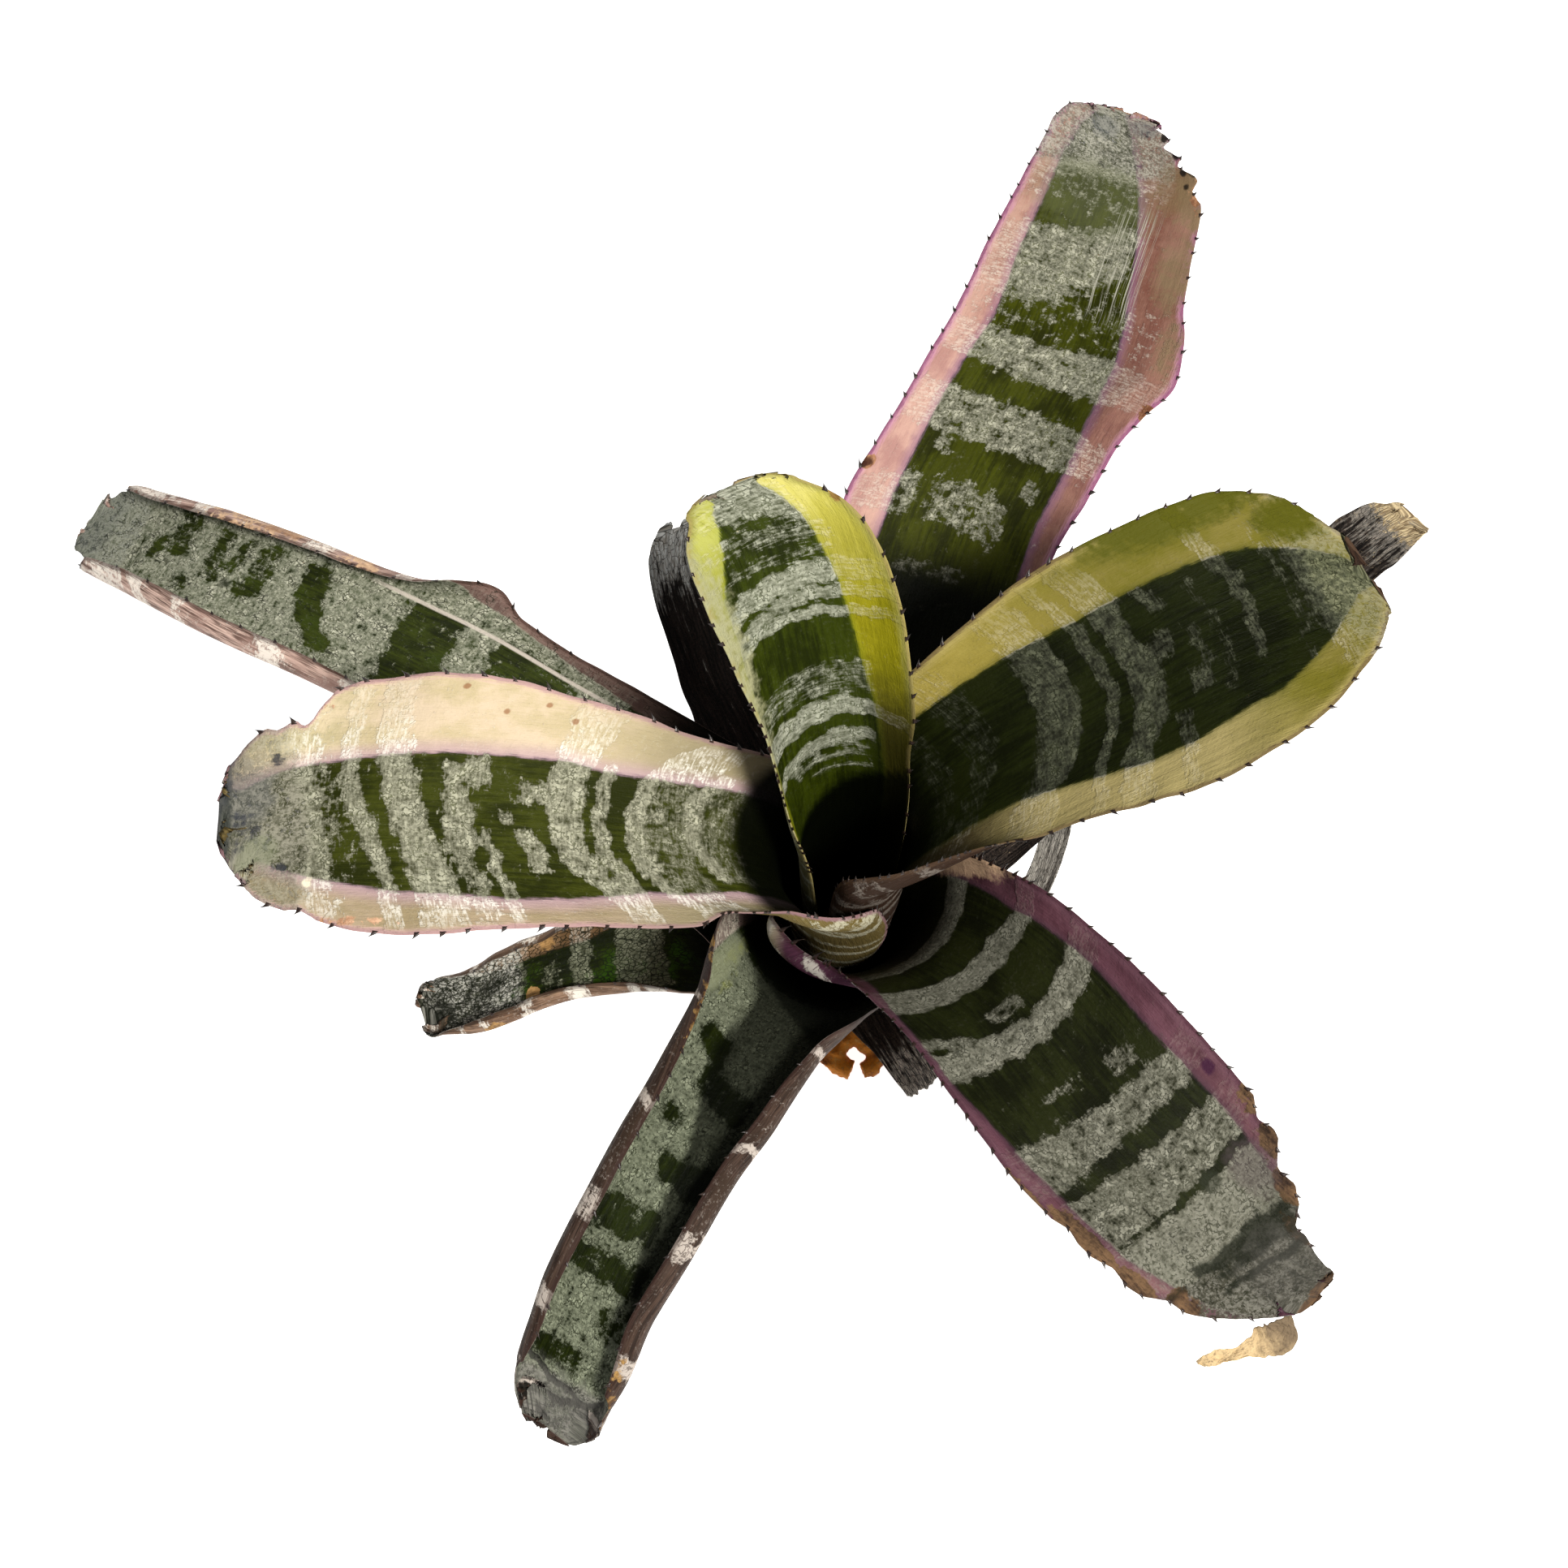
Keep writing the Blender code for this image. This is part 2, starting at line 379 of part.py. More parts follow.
def add(name, verts, faces, slot, collection):
    me = bpy.data.meshes.new(name)
    me.from_pydata([tuple(v * MM) for v in np.asarray(verts, float)], [], [tuple(int(i) for i in f) for f in faces])
    me.update()
    bm = bmesh.new()
    bm.from_mesh(me)
    bmesh.ops.recalc_face_normals(bm, faces=bm.faces)
    bmesh.ops.triangulate(bm, faces=bm.faces)
    bm.to_mesh(me)
    bm.free()
    ob = bpy.data.objects.new(name, me)
    ob.data.materials.append(material(name + "_material", slot))
    collection.objects.link(ob)
    return ob


def root_clump(collection):
    """The roots and their collar fused into one lumpy solid with a flat underside on Z = 0."""
    verts, faces = lathe([(0, -0.6), (9, -0.6), (13, 1.0), (14, 5), (12.5, 9.5), (10.5, 12.2), (0, 12.2)], 24)
    vs, fs, n = [verts], list(faces), len(verts)
    for spec in ROOTS:
        v, f = tube(*root_path(*spec))
        vs.append(v)
        fs += [tuple(i + n for i in face) for face in f]
        n += len(v)
    ob = add("root_clump", np.concatenate(vs), fs, "root_orange", collection)
    remesh = ob.modifiers.new("fuse", "REMESH")
    remesh.mode = "VOXEL"
    remesh.voxel_size = 1.25 * MM
    deps = bpy.context.evaluated_depsgraph_get()
    me = bpy.data.meshes.new_from_object(ob.evaluated_get(deps))
    ob.modifiers.remove(remesh)
    old = ob.data
    ob.data = me
    bpy.data.meshes.remove(old)
    dec = ob.modifiers.new("thin", "DECIMATE")
    dec.ratio = 2100 / max(1, len(me.polygons) * 2)
    dec.use_collapse_triangulate = True
    deps = bpy.context.evaluated_depsgraph_get()
    me = bpy.data.meshes.new_from_object(ob.evaluated_get(deps))
    ob.modifiers.remove(dec)
    old = ob.data
    ob.data = me
    bpy.data.meshes.remove(old)
    for v in me.vertices:       # flat underside, and a flat seat for the stem
        if v.co.z < 0.9 * MM:
            v.co.z = 0.0
        reach = math.hypot(v.co.x, v.co.y) / MM
        if v.co.z > 10.9 * MM and reach < 9.5:
            v.co.z = 11.7 * MM
        elif reach < 16:
            v.co.z = min(v.co.z, 11.7 * MM)
    bm = bmesh.new()
    bm.from_mesh(me)
    bmesh.ops.dissolve_degenerate(bm, dist=1e-6, edges=bm.edges)
    bmesh.ops.triangulate(bm, faces=bm.faces)
    bm.to_mesh(me)
    bm.free()
    ob.data.materials.clear()
    ob.data.materials.append(material("root_clump_surface", "root_orange"))
    return ob


def build():
    clear()
    parts = bpy.data.collections.new("urn_plant")
    bpy.context.scene.collection.children.link(parts)
    root_clump(parts)
    verts, faces = lathe([(0, 12), (8.2, 12), (9.0, 13.2), (9.2, 20), (9.2, 45), (8.6, 49), (6.0, 52), (0, 53)], 28)
    add("stem", verts, faces, "stem_brown", parts)
    for name, spec in LEAVES.items():
        verts, faces = leaf_mesh(spec)
        slot = "leaf_dry" if name.startswith("dried") else "leaf_green"
        add(name, verts, faces, slot, parts)


build()
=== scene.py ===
# Urn plant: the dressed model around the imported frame.
# The tables are in millimetres and degrees, and the meshes in metres.
import json
import math

import bpy
import numpy as np
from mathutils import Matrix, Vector

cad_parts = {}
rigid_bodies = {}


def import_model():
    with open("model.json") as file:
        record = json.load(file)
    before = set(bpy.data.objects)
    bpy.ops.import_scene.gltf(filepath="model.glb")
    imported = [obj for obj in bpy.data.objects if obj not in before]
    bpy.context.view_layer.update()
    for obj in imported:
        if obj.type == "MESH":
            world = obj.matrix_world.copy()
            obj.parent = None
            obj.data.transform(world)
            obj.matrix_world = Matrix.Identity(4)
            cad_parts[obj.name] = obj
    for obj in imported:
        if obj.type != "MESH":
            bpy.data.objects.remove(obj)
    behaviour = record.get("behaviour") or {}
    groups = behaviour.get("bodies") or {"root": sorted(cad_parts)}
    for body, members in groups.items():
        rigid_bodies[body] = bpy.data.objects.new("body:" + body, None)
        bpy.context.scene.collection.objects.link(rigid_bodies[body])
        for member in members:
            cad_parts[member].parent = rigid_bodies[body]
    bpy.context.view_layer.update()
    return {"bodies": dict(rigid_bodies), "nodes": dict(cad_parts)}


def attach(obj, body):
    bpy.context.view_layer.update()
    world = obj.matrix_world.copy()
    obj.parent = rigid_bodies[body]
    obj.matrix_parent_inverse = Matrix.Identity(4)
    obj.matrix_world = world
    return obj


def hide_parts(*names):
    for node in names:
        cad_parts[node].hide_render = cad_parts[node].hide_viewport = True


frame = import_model()
BODY = list(frame["bodies"])[0]
MM = 0.001

# ------------------------------------------------------------------ the leaves' form, as in the part's source
# Each row: r and z of the midrib, its azimuth, the half widths anticlockwise and clockwise and, where they
# aren't 0, the roll of each margin and the channel depth.  strip is how much of each half width the roll
# takes, wave is the margin's height, period and phase, and th is the thickness at the base and mid-blade.
LEAVES = {}
LEAVES["leaf_upright_inner"] = dict(strip=8, wave=(0.5, 31, 0.4), rows=[
    (9.6, 47, 108, 22, 22), (10.6, 52, 108, 25, 25), (12.3, 80, 108, 28, 28), (13.5, 110, 108, 28, 28),
    (14.5, 138, 108, 27, 27, 10), (17, 154, 107, 26, 25, 25, 5), (22, 168, 107, 23, 24, 25, 5, 0.5),
    (30, 183, 106, 22, 26, 15, 5, 1.5), (45, 202, 106.5, 26, 26, 5, 5, 3), (55, 212, 108, 27, 25.5, 0, 5, 4),
    (62, 218, 109, 27, 23, 0, 0, 4), (68, 222, 111, 24, 20, 0, 0, 3.5), (73, 225, 113.5, 17, 14, 0, 0, 2.5),
    (77, 227, 116, 0, 0)])
LEAVES["leaf_right"] = dict(strip=9, wave=(0.6, 37, 1.1), rows=[
    (9.6, 44, 23, 22, 22), (12.2, 48.5, 23, 27, 28), (15, 80, 23, 33, 35), (16.2, 110, 23, 35, 38),
    (16.6, 135, 23, 36, 39, 0, 25), (17.6, 148, 23, 35, 40, 0, 60), (21, 158, 23, 33, 37, 0, 80),
    (28, 167, 23, 32, 34, 0, 85, 0.5), (40, 178, 23, 32, 33, 0, 60, 1.5), (55, 187, 23, 34, 33.5, 5, 10, 3),
    (75, 196, 23, 36.5, 38, 5, 0, 4), (92, 203, 23, 36, 40.5, 0, 0, 4.5),
    (106, 206, 23, 35, 38.5, 0, 0, 4.5), (119, 207, 23, 33.5, 34, 0, 0, 4),
    (130, 207, 23, 29, 27.5, 0, 0, 3.5), (138, 205.5, 22.7, 22.5, 20.5, 0, 0, 3),
    (143.5, 204, 22, 13.5, 12.5, 0, 0, 2), (147, 203, 21.2, 0, 0)])
LEAVES["leaf_left"] = dict(strip=9, wave=(0.7, 43, 2), rows=[
    (9.6, 41, 181, 22, 22), (13.1, 45.3, 181, 29, 28), (17.2, 75, 181, 38, 34), (19.5, 100, 181, 43, 37),
    (21, 120, 181, 45, 38, 25), (22.4, 133, 181, 45, 37, 55, 5), (25.5, 141, 181, 41, 33, 65, 15),
    (32, 149, 181, 30, 28, 60, 25, 0.5), (45, 158, 181, 29, 27, 30, 20, 2),
    (54, 163.5, 181, 33, 27.5, 5, 5, 3), (65, 169, 181, 34, 29.5, 0, 0, 3.5),
    (80, 174.5, 181, 34.5, 32.5, 0, 0, 4), (100, 180.5, 181, 35.5, 36, 0, 0, 4),
    (118, 184, 181, 37.5, 36.5, -5, 0, 3.5), (133, 184.5, 181, 36, 35, -10, 0, 3),
    (144, 184, 181, 32, 31, -10, 0, 2.5), (149, 183.5, 181, 30, 23.5, -10, 0, 2),
    (158, 182, 181, 25.5, 21.5, 0, 5, 1.5), (164, 180.5, 181, 18, 18, 0, 0, 1),
    (168, 179.5, 180.5, 13, 12, 0, 0, 0.5), (170.5, 179, 180, 0, 0)])
LEAVES["leaf_lower_right"] = dict(strip=9, wave=(0.7, 47, 0.2), rows=[
    (9.6, 38, -41, 22, 22), (13.8, 42, -41, 28, 30), (17.2, 50, -41, 31, 37), (20, 65, -41, 33, 44),
    (23.5, 82, -41, 35, 53, 0, 15), (28, 97, -41, 37, 58, 5, 50), (30, 103, -41, 36, 50, 10, 75),
    (33, 110, -41, 34, 37, 15, 70), (38, 117, -41, 32, 33, 15, 45, 1), (48, 126, -41.5, 31, 32, 10, 25, 2),
    (62, 135, -43, 31, 33, 5, 20, 3), (80, 141, -46, 32.5, 33.5, 5, 20, 3.5),
    (104, 144, -48, 33, 33.5, 10, 25, 3.5), (130, 142, -47.5, 30.5, 33, 15, 25, 3),
    (145, 139, -47.3, 24.5, 29.5, 20, 20, 2.5), (157, 135, -47, 17, 22, 10, 5, 2),
    (166, 131, -46, 11.5, 14.5, 0, 0, 1.5), (173, 128, -45, 8.5, 8.5, 0, 0, 0.5), (177, 126.5, -44, 0, 0)])
LEAVES["leaf_upper_right"] = dict(strip=9, wave=(0.8, 53, 1.5), rows=[
    (9.6, 35, 70, 22, 22), (14.6, 39.3, 70, 30, 30), (19.3, 48, 70, 36, 36), (22.5, 58, 70, 40, 40),
    (27, 75, 70, 43, 43), (33, 92, 70, 42, 42), (42, 106, 70, 38, 38, 0, 0, 1),
    (55, 117, 70.5, 34, 34, 0, 0, 2), (75, 127, 71.5, 33, 32, 0, 0, 3), (97, 134.5, 72, 35, 31, 0, 0, 4),
    (115, 140, 71.5, 37, 31.5, 0, 0, 4), (132, 144, 70.3, 35.5, 33, 0, 0, 4),
    (150, 147, 69.2, 34, 33.5, 0, 0, 4), (165, 149.5, 68.3, 34, 36, 0, 0, 3.5),
    (179, 151.5, 67.5, 34.5, 39, 0, 0, 3.5), (190, 152, 67.5, 34, 37, 0, 0, 3.5),
    (201, 151.5, 67.8, 33, 34, 0, 0, 3.5), (219, 151, 68, 31, 31.5, 0, 0, 3),
    (240, 149.5, 68.2, 29.5, 29.5, 0, 0, 2.5), (255, 146.5, 68.6, 27, 25.5, 0, 0, 2),
    (265, 144, 69.2, 24, 20.5, 0, 0, 2), (274, 141.5, 69.6, 20, 16.5, 0, 0, 1.5),
    (281, 139, 69.8, 14.5, 13.5, 0, 0, 1), (285, 137.5, 69.8, 0, 0)])
LEAVES["leaf_lower"] = dict(strip=14, wave=(0.5, 41, 2.2), rows=[
    (9.6, 32, 242, 22, 22), (15.5, 36.3, 242, 31, 31), (21.3, 44, 242, 36, 38), (25.2, 54, 242, 37, 43),
    (29.5, 66, 242, 36, 44), (35, 79, 242, 31, 42, 10, 10), (43, 90, 242, 29, 38, 40, 30, 0.5),
    (51, 96.5, 241, 29, 35, 90, 90, 1), (60, 101.5, 240, 29, 31, 140, 140, 1.5),
    (80, 108, 240, 29, 29.5, 185, 185, 1.5), (100, 112.5, 239.8, 27.5, 28, 195, 195, 1.5),
    (120, 113.5, 240, 27, 27, 195, 195, 1.5), (140, 110.5, 240.2, 25.5, 26, 190, 190, 1.5),
    (155, 105.5, 240.8, 24.5, 24.5, 170, 180, 1.5), (165, 101.5, 241, 21, 21.5, 130, 150, 1),
    (173, 97.5, 241.3, 15.5, 15, 60, 90, 0.5), (179, 94.5, 241.5, 9.5, 9, 20, 40), (182, 93, 241.5, 0, 0)])
LEAVES["leaf_far_left"] = dict(strip=13, wave=(0.6, 61, 0.9), rows=[
    (9.6, 29, 150, 22, 22), (16.5, 33, 150, 31, 31), (23.2, 40, 150, 37, 37), (28.5, 50, 150.3, 40, 40),
    (34, 60, 150.5, 40, 40), (40, 70, 151, 38, 38), (50, 81, 151.5, 34, 34, 10, 10, 1),
    (66, 91, 152, 32, 29, 20, 25, 1.5), (90, 101, 152.5, 30, 27.5, 40, 45, 2),
    (115, 109.5, 153, 29.5, 27.5, 60, 60, 2), (132, 114.5, 153, 30, 28, 90, 45, 2),
    (145, 118, 153.2, 30, 33, 130, 15, 2), (153, 120.5, 153.5, 30, 31.5, 150, 80, 2),
    (165, 123.5, 153.8, 30, 30, 175, 150, 2), (190, 128.5, 154.3, 30, 29, 195, 185, 2),
    (221, 129.5, 154.7, 28.5, 27.5, 195, 190, 2), (240, 127.5, 154.7, 26.5, 25.5, 185, 185, 1.5),
    (254, 123.5, 154.7, 24, 24, 150, 170, 1), (263, 120, 154.6, 19, 21, 80, 130, 0.5),
    (270, 117, 154.5, 13, 14, 20, 50), (274, 115.5, 154.5, 0, 0)])
LEAVES["withered_leaf_left"] = dict(strip=10, wave=(0.9, 23, 0.3), th=(1.1, 0.8), rows=[
    (9.6, 23, 190, 17, 17), (18.5, 26, 190, 24, 24), (28, 32, 189, 27, 27), (40, 40, 187, 26, 26, 30, 30),
    (58, 49, 185, 22.5, 22.5, 90, 90, 0.5), (75, 48.5, 186.3, 20, 20, 150, 150, 1),
    (90, 46.5, 187, 19, 19, 170, 170, 1), (105, 43.5, 188.5, 19, 19, 180, 175, 1),
    (125, 38, 190, 17.5, 15.5, 170, 160, 1), (139, 34, 189.7, 13, 10.5, 90, 100, 0.5),
    (147.5, 32, 189, 0, 0)])
LEAVES["dried_leaf_back"] = dict(strip=7, wave=(1.3, 29, 0.8), th=(1, 0.8), rows=[
    (9.6, 26, 118, 16, 16), (17.5, 29.5, 118, 22, 22), (26, 37, 118.5, 25, 25),
    (34.5, 48, 119, 24, 24, 10, 10), (50, 66, 120, 20, 20, 30, 30, 1), (70, 80, 120.5, 15.5, 16, 50, 50, 2),
    (85, 87, 120.5, 11.5, 14, 50, 40, 2), (100, 93, 119.3, 9.5, 13, 30, 30, 2),
    (115, 97, 118, 9, 12, 20, 10, 1.5), (130, 99, 116, 8.5, 10, 10, 10, 1),
    (138, 99.5, 114.2, 6, 6.5, 0, 0, 0.5), (141, 99.5, 113, 0, 0)])
LEAVES["dried_leaf_right"] = dict(strip=7, wave=(1.6, 33, 1.9), th=(1, 0.8), rows=[
    (9.6, 20, 33, 15, 15), (19.5, 23, 33, 22, 22), (30, 28, 33, 22, 22), (45, 37, 33.5, 19, 19, 20, 20, 1),
    (70, 49, 34, 15, 15, 50, 50, 2), (110, 59, 34.5, 13, 13, 70, 70, 2), (160, 68, 35, 13, 13, 60, 60, 2),
    (200, 73, 35.3, 13, 13, 50, 50, 2.5), (225, 74.5, 35.5, 12.5, 12.5, 30, 30, 2.5),
    (240, 74.5, 35.6, 10.5, 10.5, 20, 10, 2), (248, 74, 35.4, 8, 8, 0, 10, 1), (253, 73.5, 35, 0, 0)])
LEAVES["dried_leaf_bent"] = dict(strip=5, wave=(0.8, 27, 0.1), th=(1, 0.8), rows=[
    (9.6, 17, -25, 14, 14), (20, 20, -22, 19, 19), (30, 24.5, -18, 16, 16, 10, 10),
    (45, 32, -9, 11, 11, 40, 30, 1), (60, 39.5, 3, 8.5, 8.5, 60, 40, 1.5),
    (70, 43, 13, 7.5, 7.5, 60, 40, 1.5), (80, 45, 22, 7.5, 7, 50, 40, 1), (88, 45.5, 28, 6, 6, 30, 30, 1),
    (94, 46, 32, 3.5, 3.5, 10, 10, 0.5), (97, 46, 33.5, 0, 0)])
LEAVES["dried_leaf_stub"] = dict(strip=5, wave=(0.6, 19, 0.6), th=(1, 0.9), rows=[
    (9.6, 14, -60, 14, 14), (20, 16.8, -60, 15, 14), (31, 20.3, -61, 11, 10, 20, 20),
    (42, 23.5, -61, 9, 8, 40, 40, 0.5), (52, 25, -60.5, 7.5, 7, 30, 30, 0.5),
    (58.5, 25, -60.5, 6.5, 6, 20, 20, 0.5)])

R, Z, AZIMUTH, LEFT, RIGHT, ROLL_LEFT, ROLL_RIGHT, CHANNEL = range(8)
THICKNESS = (1.2, 0.8)
STRIP_SHARE = 0.55              # the part of a half width that the margin strip takes at most
WAVE_FROM, WAVE_OVER = 22, 30   # the radius where the waves set in, and how soon they are full
WAVE_WIDTH, WAVE_LAG = 12, 2.1  # the half width that takes a full wave, and the clockwise margin's shift
SLOPE_STEP, STRAIGHT = 0.5, 1e-4


def monotone(xs, ys, x):
    """Monotone cubic interpolation of ys over xs at x."""
    xs, ys = np.asarray(xs, float), np.asarray(ys, float)
    h = np.diff(xs)
    d = np.diff(ys) / h
    m = np.zeros(len(xs))
    for i in range(1, len(xs) - 1):
        if d[i - 1] * d[i] > 0:
            w1, w2 = 2 * h[i] + h[i - 1], h[i] + 2 * h[i - 1]
            m[i] = (w1 + w2) / (w1 / d[i - 1] + w2 / d[i])
    m[0], m[-1] = d[0], d[-1]
    k = np.clip(np.searchsorted(xs, x, side="right") - 1, 0, len(h) - 1)
    t = (x - xs[k]) / h[k]
    return ((1 + 2 * t) * (1 - t) ** 2 * ys[k] + t * (1 - t) ** 2 * h[k] * m[k]
            + t * t * (3 - 2 * t) * ys[k + 1] + t * t * (t - 1) * h[k] * m[k + 1])


def smooth(lo, hi, x):
    """Smooth step of x from lo (0) to hi (1)."""
    t = np.clip((np.asarray(x, float) - lo) / (hi - lo), 0, 1)
    return t * t * (3 - 2 * t)


def ripple(seed, s, v, length, across):
    """A smooth uneven field of about -1 to 1: a seeded sum of waves over the blade."""
    rng = np.random.default_rng(seed)
    out = np.zeros(np.broadcast(s, v).shape)
    for _ in range(7):
        a, b, c = rng.uniform(0.5, 1.4), rng.uniform(-1.2, 1.2), rng.uniform(0, 6.28)
        out = out + np.sin(6.283 * (a * s / length + b * v / across) + c)
    return out / 3.2


class Leaf:
    """One leaf's inner face: s runs along the midrib, t from the clockwise margin (-1) to the other (1)."""

    def __init__(self, name):
        self.spec = LEAVES[name]
        self.rows = rows = np.array([row + (0,) * (8 - len(row)) for row in self.spec["rows"]], float)
        turn = 0.5 * (rows[1:, R] + rows[:-1, R]) * np.diff(np.radians(rows[:, AZIMUTH]))
        step = np.sqrt(np.diff(rows[:, R]) ** 2 + np.diff(rows[:, Z]) ** 2 + turn ** 2)
        self.knots = np.concatenate([[0], np.cumsum(step)])
        self.length = self.knots[-1]

    def at(self, s, column):
        return monotone(self.knots, self.rows[:, column], s)

    def place_of(self, radius):
        """Where along the midrib the leaf reaches a radius."""
        return float(np.interp(radius, self.rows[:, R], self.knots))

    def width(self, s, column):
        """Half width on one side, closing in a round tip."""
        k = self.knots
        if self.rows[-1, column] > 0:
            return self.at(s, column)
        w = monotone(k[:-1], self.rows[:-1, column], np.minimum(s, k[-2]))
        x = np.clip((s - k[-2]) / (k[-1] - k[-2]), 0, 1)
        return np.maximum(w * np.sqrt(np.maximum(0, 1 - x * x)), 0.3)

    def strip(self, w):
        """Width of the margin strip that rolls, where the half width is w."""
        return np.minimum(self.spec["strip"], STRIP_SHARE * w)

    def surface(self, s, t, lift):
        """Points for arrays s and t; lift raises them off the smooth form."""
        s = np.clip(s, 0, self.length)
        r = self.at(s, R)
        hi, lo = np.minimum(s + SLOPE_STEP, self.length), np.maximum(s - SLOPE_STEP, 0)
        dr, dz = self.at(hi, R) - self.at(lo, R), self.at(hi, Z) - self.at(lo, Z)
        n = np.hypot(dr, dz)
        left = t >= 0
        w = np.where(left, self.width(s, LEFT), self.width(s, RIGHT))
        roll = np.radians(np.where(left, self.at(s, ROLL_LEFT), self.at(s, ROLL_RIGHT)))
        strip = self.strip(w)
        flat = w - strip
        a = np.abs(t) * w
        height, period, phase = self.spec["wave"]
        lag = np.where(left, 0.0, WAVE_LAG)
        wave = height * (a / w) ** 3 * np.sin(2 * math.pi * s / period + phase + lag)
        up = self.at(s, CHANNEL) * (a / w) ** 2
        up = up + wave * np.clip((r - WAVE_FROM) / WAVE_OVER, 0, 1) * np.minimum(1.0, w / WAVE_WIDTH)
        rolled = np.maximum(a - flat, 0)
        k = np.where(np.abs(roll) < STRAIGHT, STRAIGHT, roll) / strip
        x = np.minimum(a, flat) + np.sin(k * rolled) / k
        up = up + (1 - np.cos(k * rolled)) / k + lift
        turn = np.radians(self.at(s, AZIMUTH)) + np.where(left, 1.0, -1.0) * x / r
        out = r - dz / n * up
        return np.stack([out * np.cos(turn), out * np.sin(turn), self.at(s, Z) + dr / n * up], -1)


# ------------------------------------------------------------------ fields of the markings over a blade
BAND_REACH, BAND_END = 19, 2.4  # a band that stops short of this v fades out over this much more
BACK_START, BACK_END = 26.0, 330


def band_field(bands, s, v):
    """How dense the silver bands are at s and v."""
    out = np.zeros(np.broadcast(s, v).shape)
    for strength, fade, points in bands:
        tip, base = fade if isinstance(fade, tuple) else (fade, fade)
        k = np.array(sorted(points), float)
        at = np.clip(v, k[0, 0], k[-1, 0])
        d = s - (monotone(k[:, 0], k[:, 1], at) if len(k) > 2 else np.interp(at, k[:, 0], k[:, 1]))
        d = d + 0.45 * np.sin(v * 0.7 + k[0, 1]) + 0.2 * np.sin(v * 1.9 + 2 * k[0, 1])
        over = np.maximum(np.abs(d) - np.interp(at, k[:, 0], k[:, 2]), 0) / np.where(d > 0, tip, base)
        f = strength * np.exp(-over ** 2)
        if k[-1, 0] < BAND_REACH:
            f = f * smooth(k[-1, 0] + BAND_END, k[-1, 0], v)
        if k[0, 0] > -BAND_REACH:
            f = f * smooth(k[0, 0] - BAND_END, k[0, 0], v)
        out = np.maximum(out + f, 0) if strength < 0 else np.maximum(out, f)
    return np.clip(out, 0, 1.7)


def spots(points, s, v):
    """Soft patches, each (s, v, half length, half width, strength)."""
    out = np.zeros(np.broadcast(s, v).shape)
    for s0, v0, a, b, power in points:
        q = ((s - s0) / a) ** 2 + ((v - v0) / b) ** 2
        out = np.maximum(out, power * np.exp(-q ** 2))
    return out


def underside_field(seed, s, v, pitch, half):
    """White cross bands of a leaf's outer face, a seeded row of them with uneven spacing."""
    rng = np.random.default_rng(seed)
    out, at = np.zeros(np.broadcast(s, v).shape), BACK_START
    while at < BACK_END:
        tilt, bend = rng.uniform(-0.12, 0.12), rng.uniform(-0.004, 0.008)
        wide, power = half * rng.uniform(0.55, 1.5), rng.uniform(0.55, 1.0)
        d = s - at - tilt * v - bend * v * v + 0.6 * np.sin(v * 0.55 + at)
        out = np.maximum(out, power * np.exp(-(d / wide) ** 2))
        at += pitch * rng.uniform(0.6, 1.5)
    return out


# ------------------------------------------------------------------ meshes
LEAF_OFFSET = 200               # keeps the textures of the leaves apart
FACE, BACK, SPINE, SCRAP_PAPER = range(4)       # material slots of a leaf
SHEATH_RADIUS, SHEATH_STEP = 22, 2.4
TIP_RUN, TIP_ROWS = 7, 16
TORN_RUN = 16
RELIEF_RADII = (24, 60)         # between these the face grows uneven
SPINE_RINGS, SPINE_SIDES, SPINE_ROOT = 4, 6, 0.45
SPINE_END = 9                   # the spines stop this far from the tip


def grid_faces(rows, cols):
    """Quads of a grid of points."""
    index = np.arange(rows * cols).reshape(rows, cols)
    return np.stack([index[:-1, :-1], index[1:, :-1], index[1:, 1:], index[:-1, 1:]], -1).reshape(-1, 4)


def tube_faces(rings, sides):
    """Quads round a stack of rings of points."""
    faces = []
    for i in range(rings - 1):
        for k in range(sides):
            k2 = (k + 1) % sides
            faces.append((i * sides + k, i * sides + k2, (i + 1) * sides + k2, (i + 1) * sides + k))
    return faces


class Build:
    """Vertices, faces with a material each, and the shading attributes of a piece."""

    def __init__(self):
        self.verts, self.faces, self.slots, self.count = [], [], [], 0
        self.data = {"place": [], "marks": [], "wear": []}

    def add(self, verts, faces, slot, **data):
        """Points with their own faces, and their attributes by name."""
        verts = np.reshape(verts, (-1, 3))
        self.verts.append(verts)
        for label, store in self.data.items():
            store.append(np.reshape(data.get(label, np.zeros_like(verts)), (-1, 3)))
        self.link([tuple(int(i) + self.count for i in face) for face in faces], slot)
        self.count += len(verts)

    def link(self, faces, slot):
        """Faces between points that are there already."""
        self.faces += faces
        self.slots += [slot] * len(faces)

    def finish(self, name, materials):
        mesh = bpy.data.meshes.new(name)
        mesh.from_pydata([tuple(v) for v in np.concatenate(self.verts) * MM], [], self.faces)
        for material in materials:
            mesh.materials.append(material)
        mesh.polygons.foreach_set("material_index", self.slots)
        mesh.polygons.foreach_set("use_smooth", [True] * len(self.faces))
        for label, store in self.data.items():
            layer = mesh.attributes.new(label, "FLOAT_VECTOR", "POINT")
            layer.data.foreach_set("vector", np.concatenate(store).astype(np.float32).ravel())
        mesh.update()
        ob = bpy.data.objects.new(name, mesh)
        bpy.context.scene.collection.objects.link(ob)
        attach(ob, BODY)
        return ob


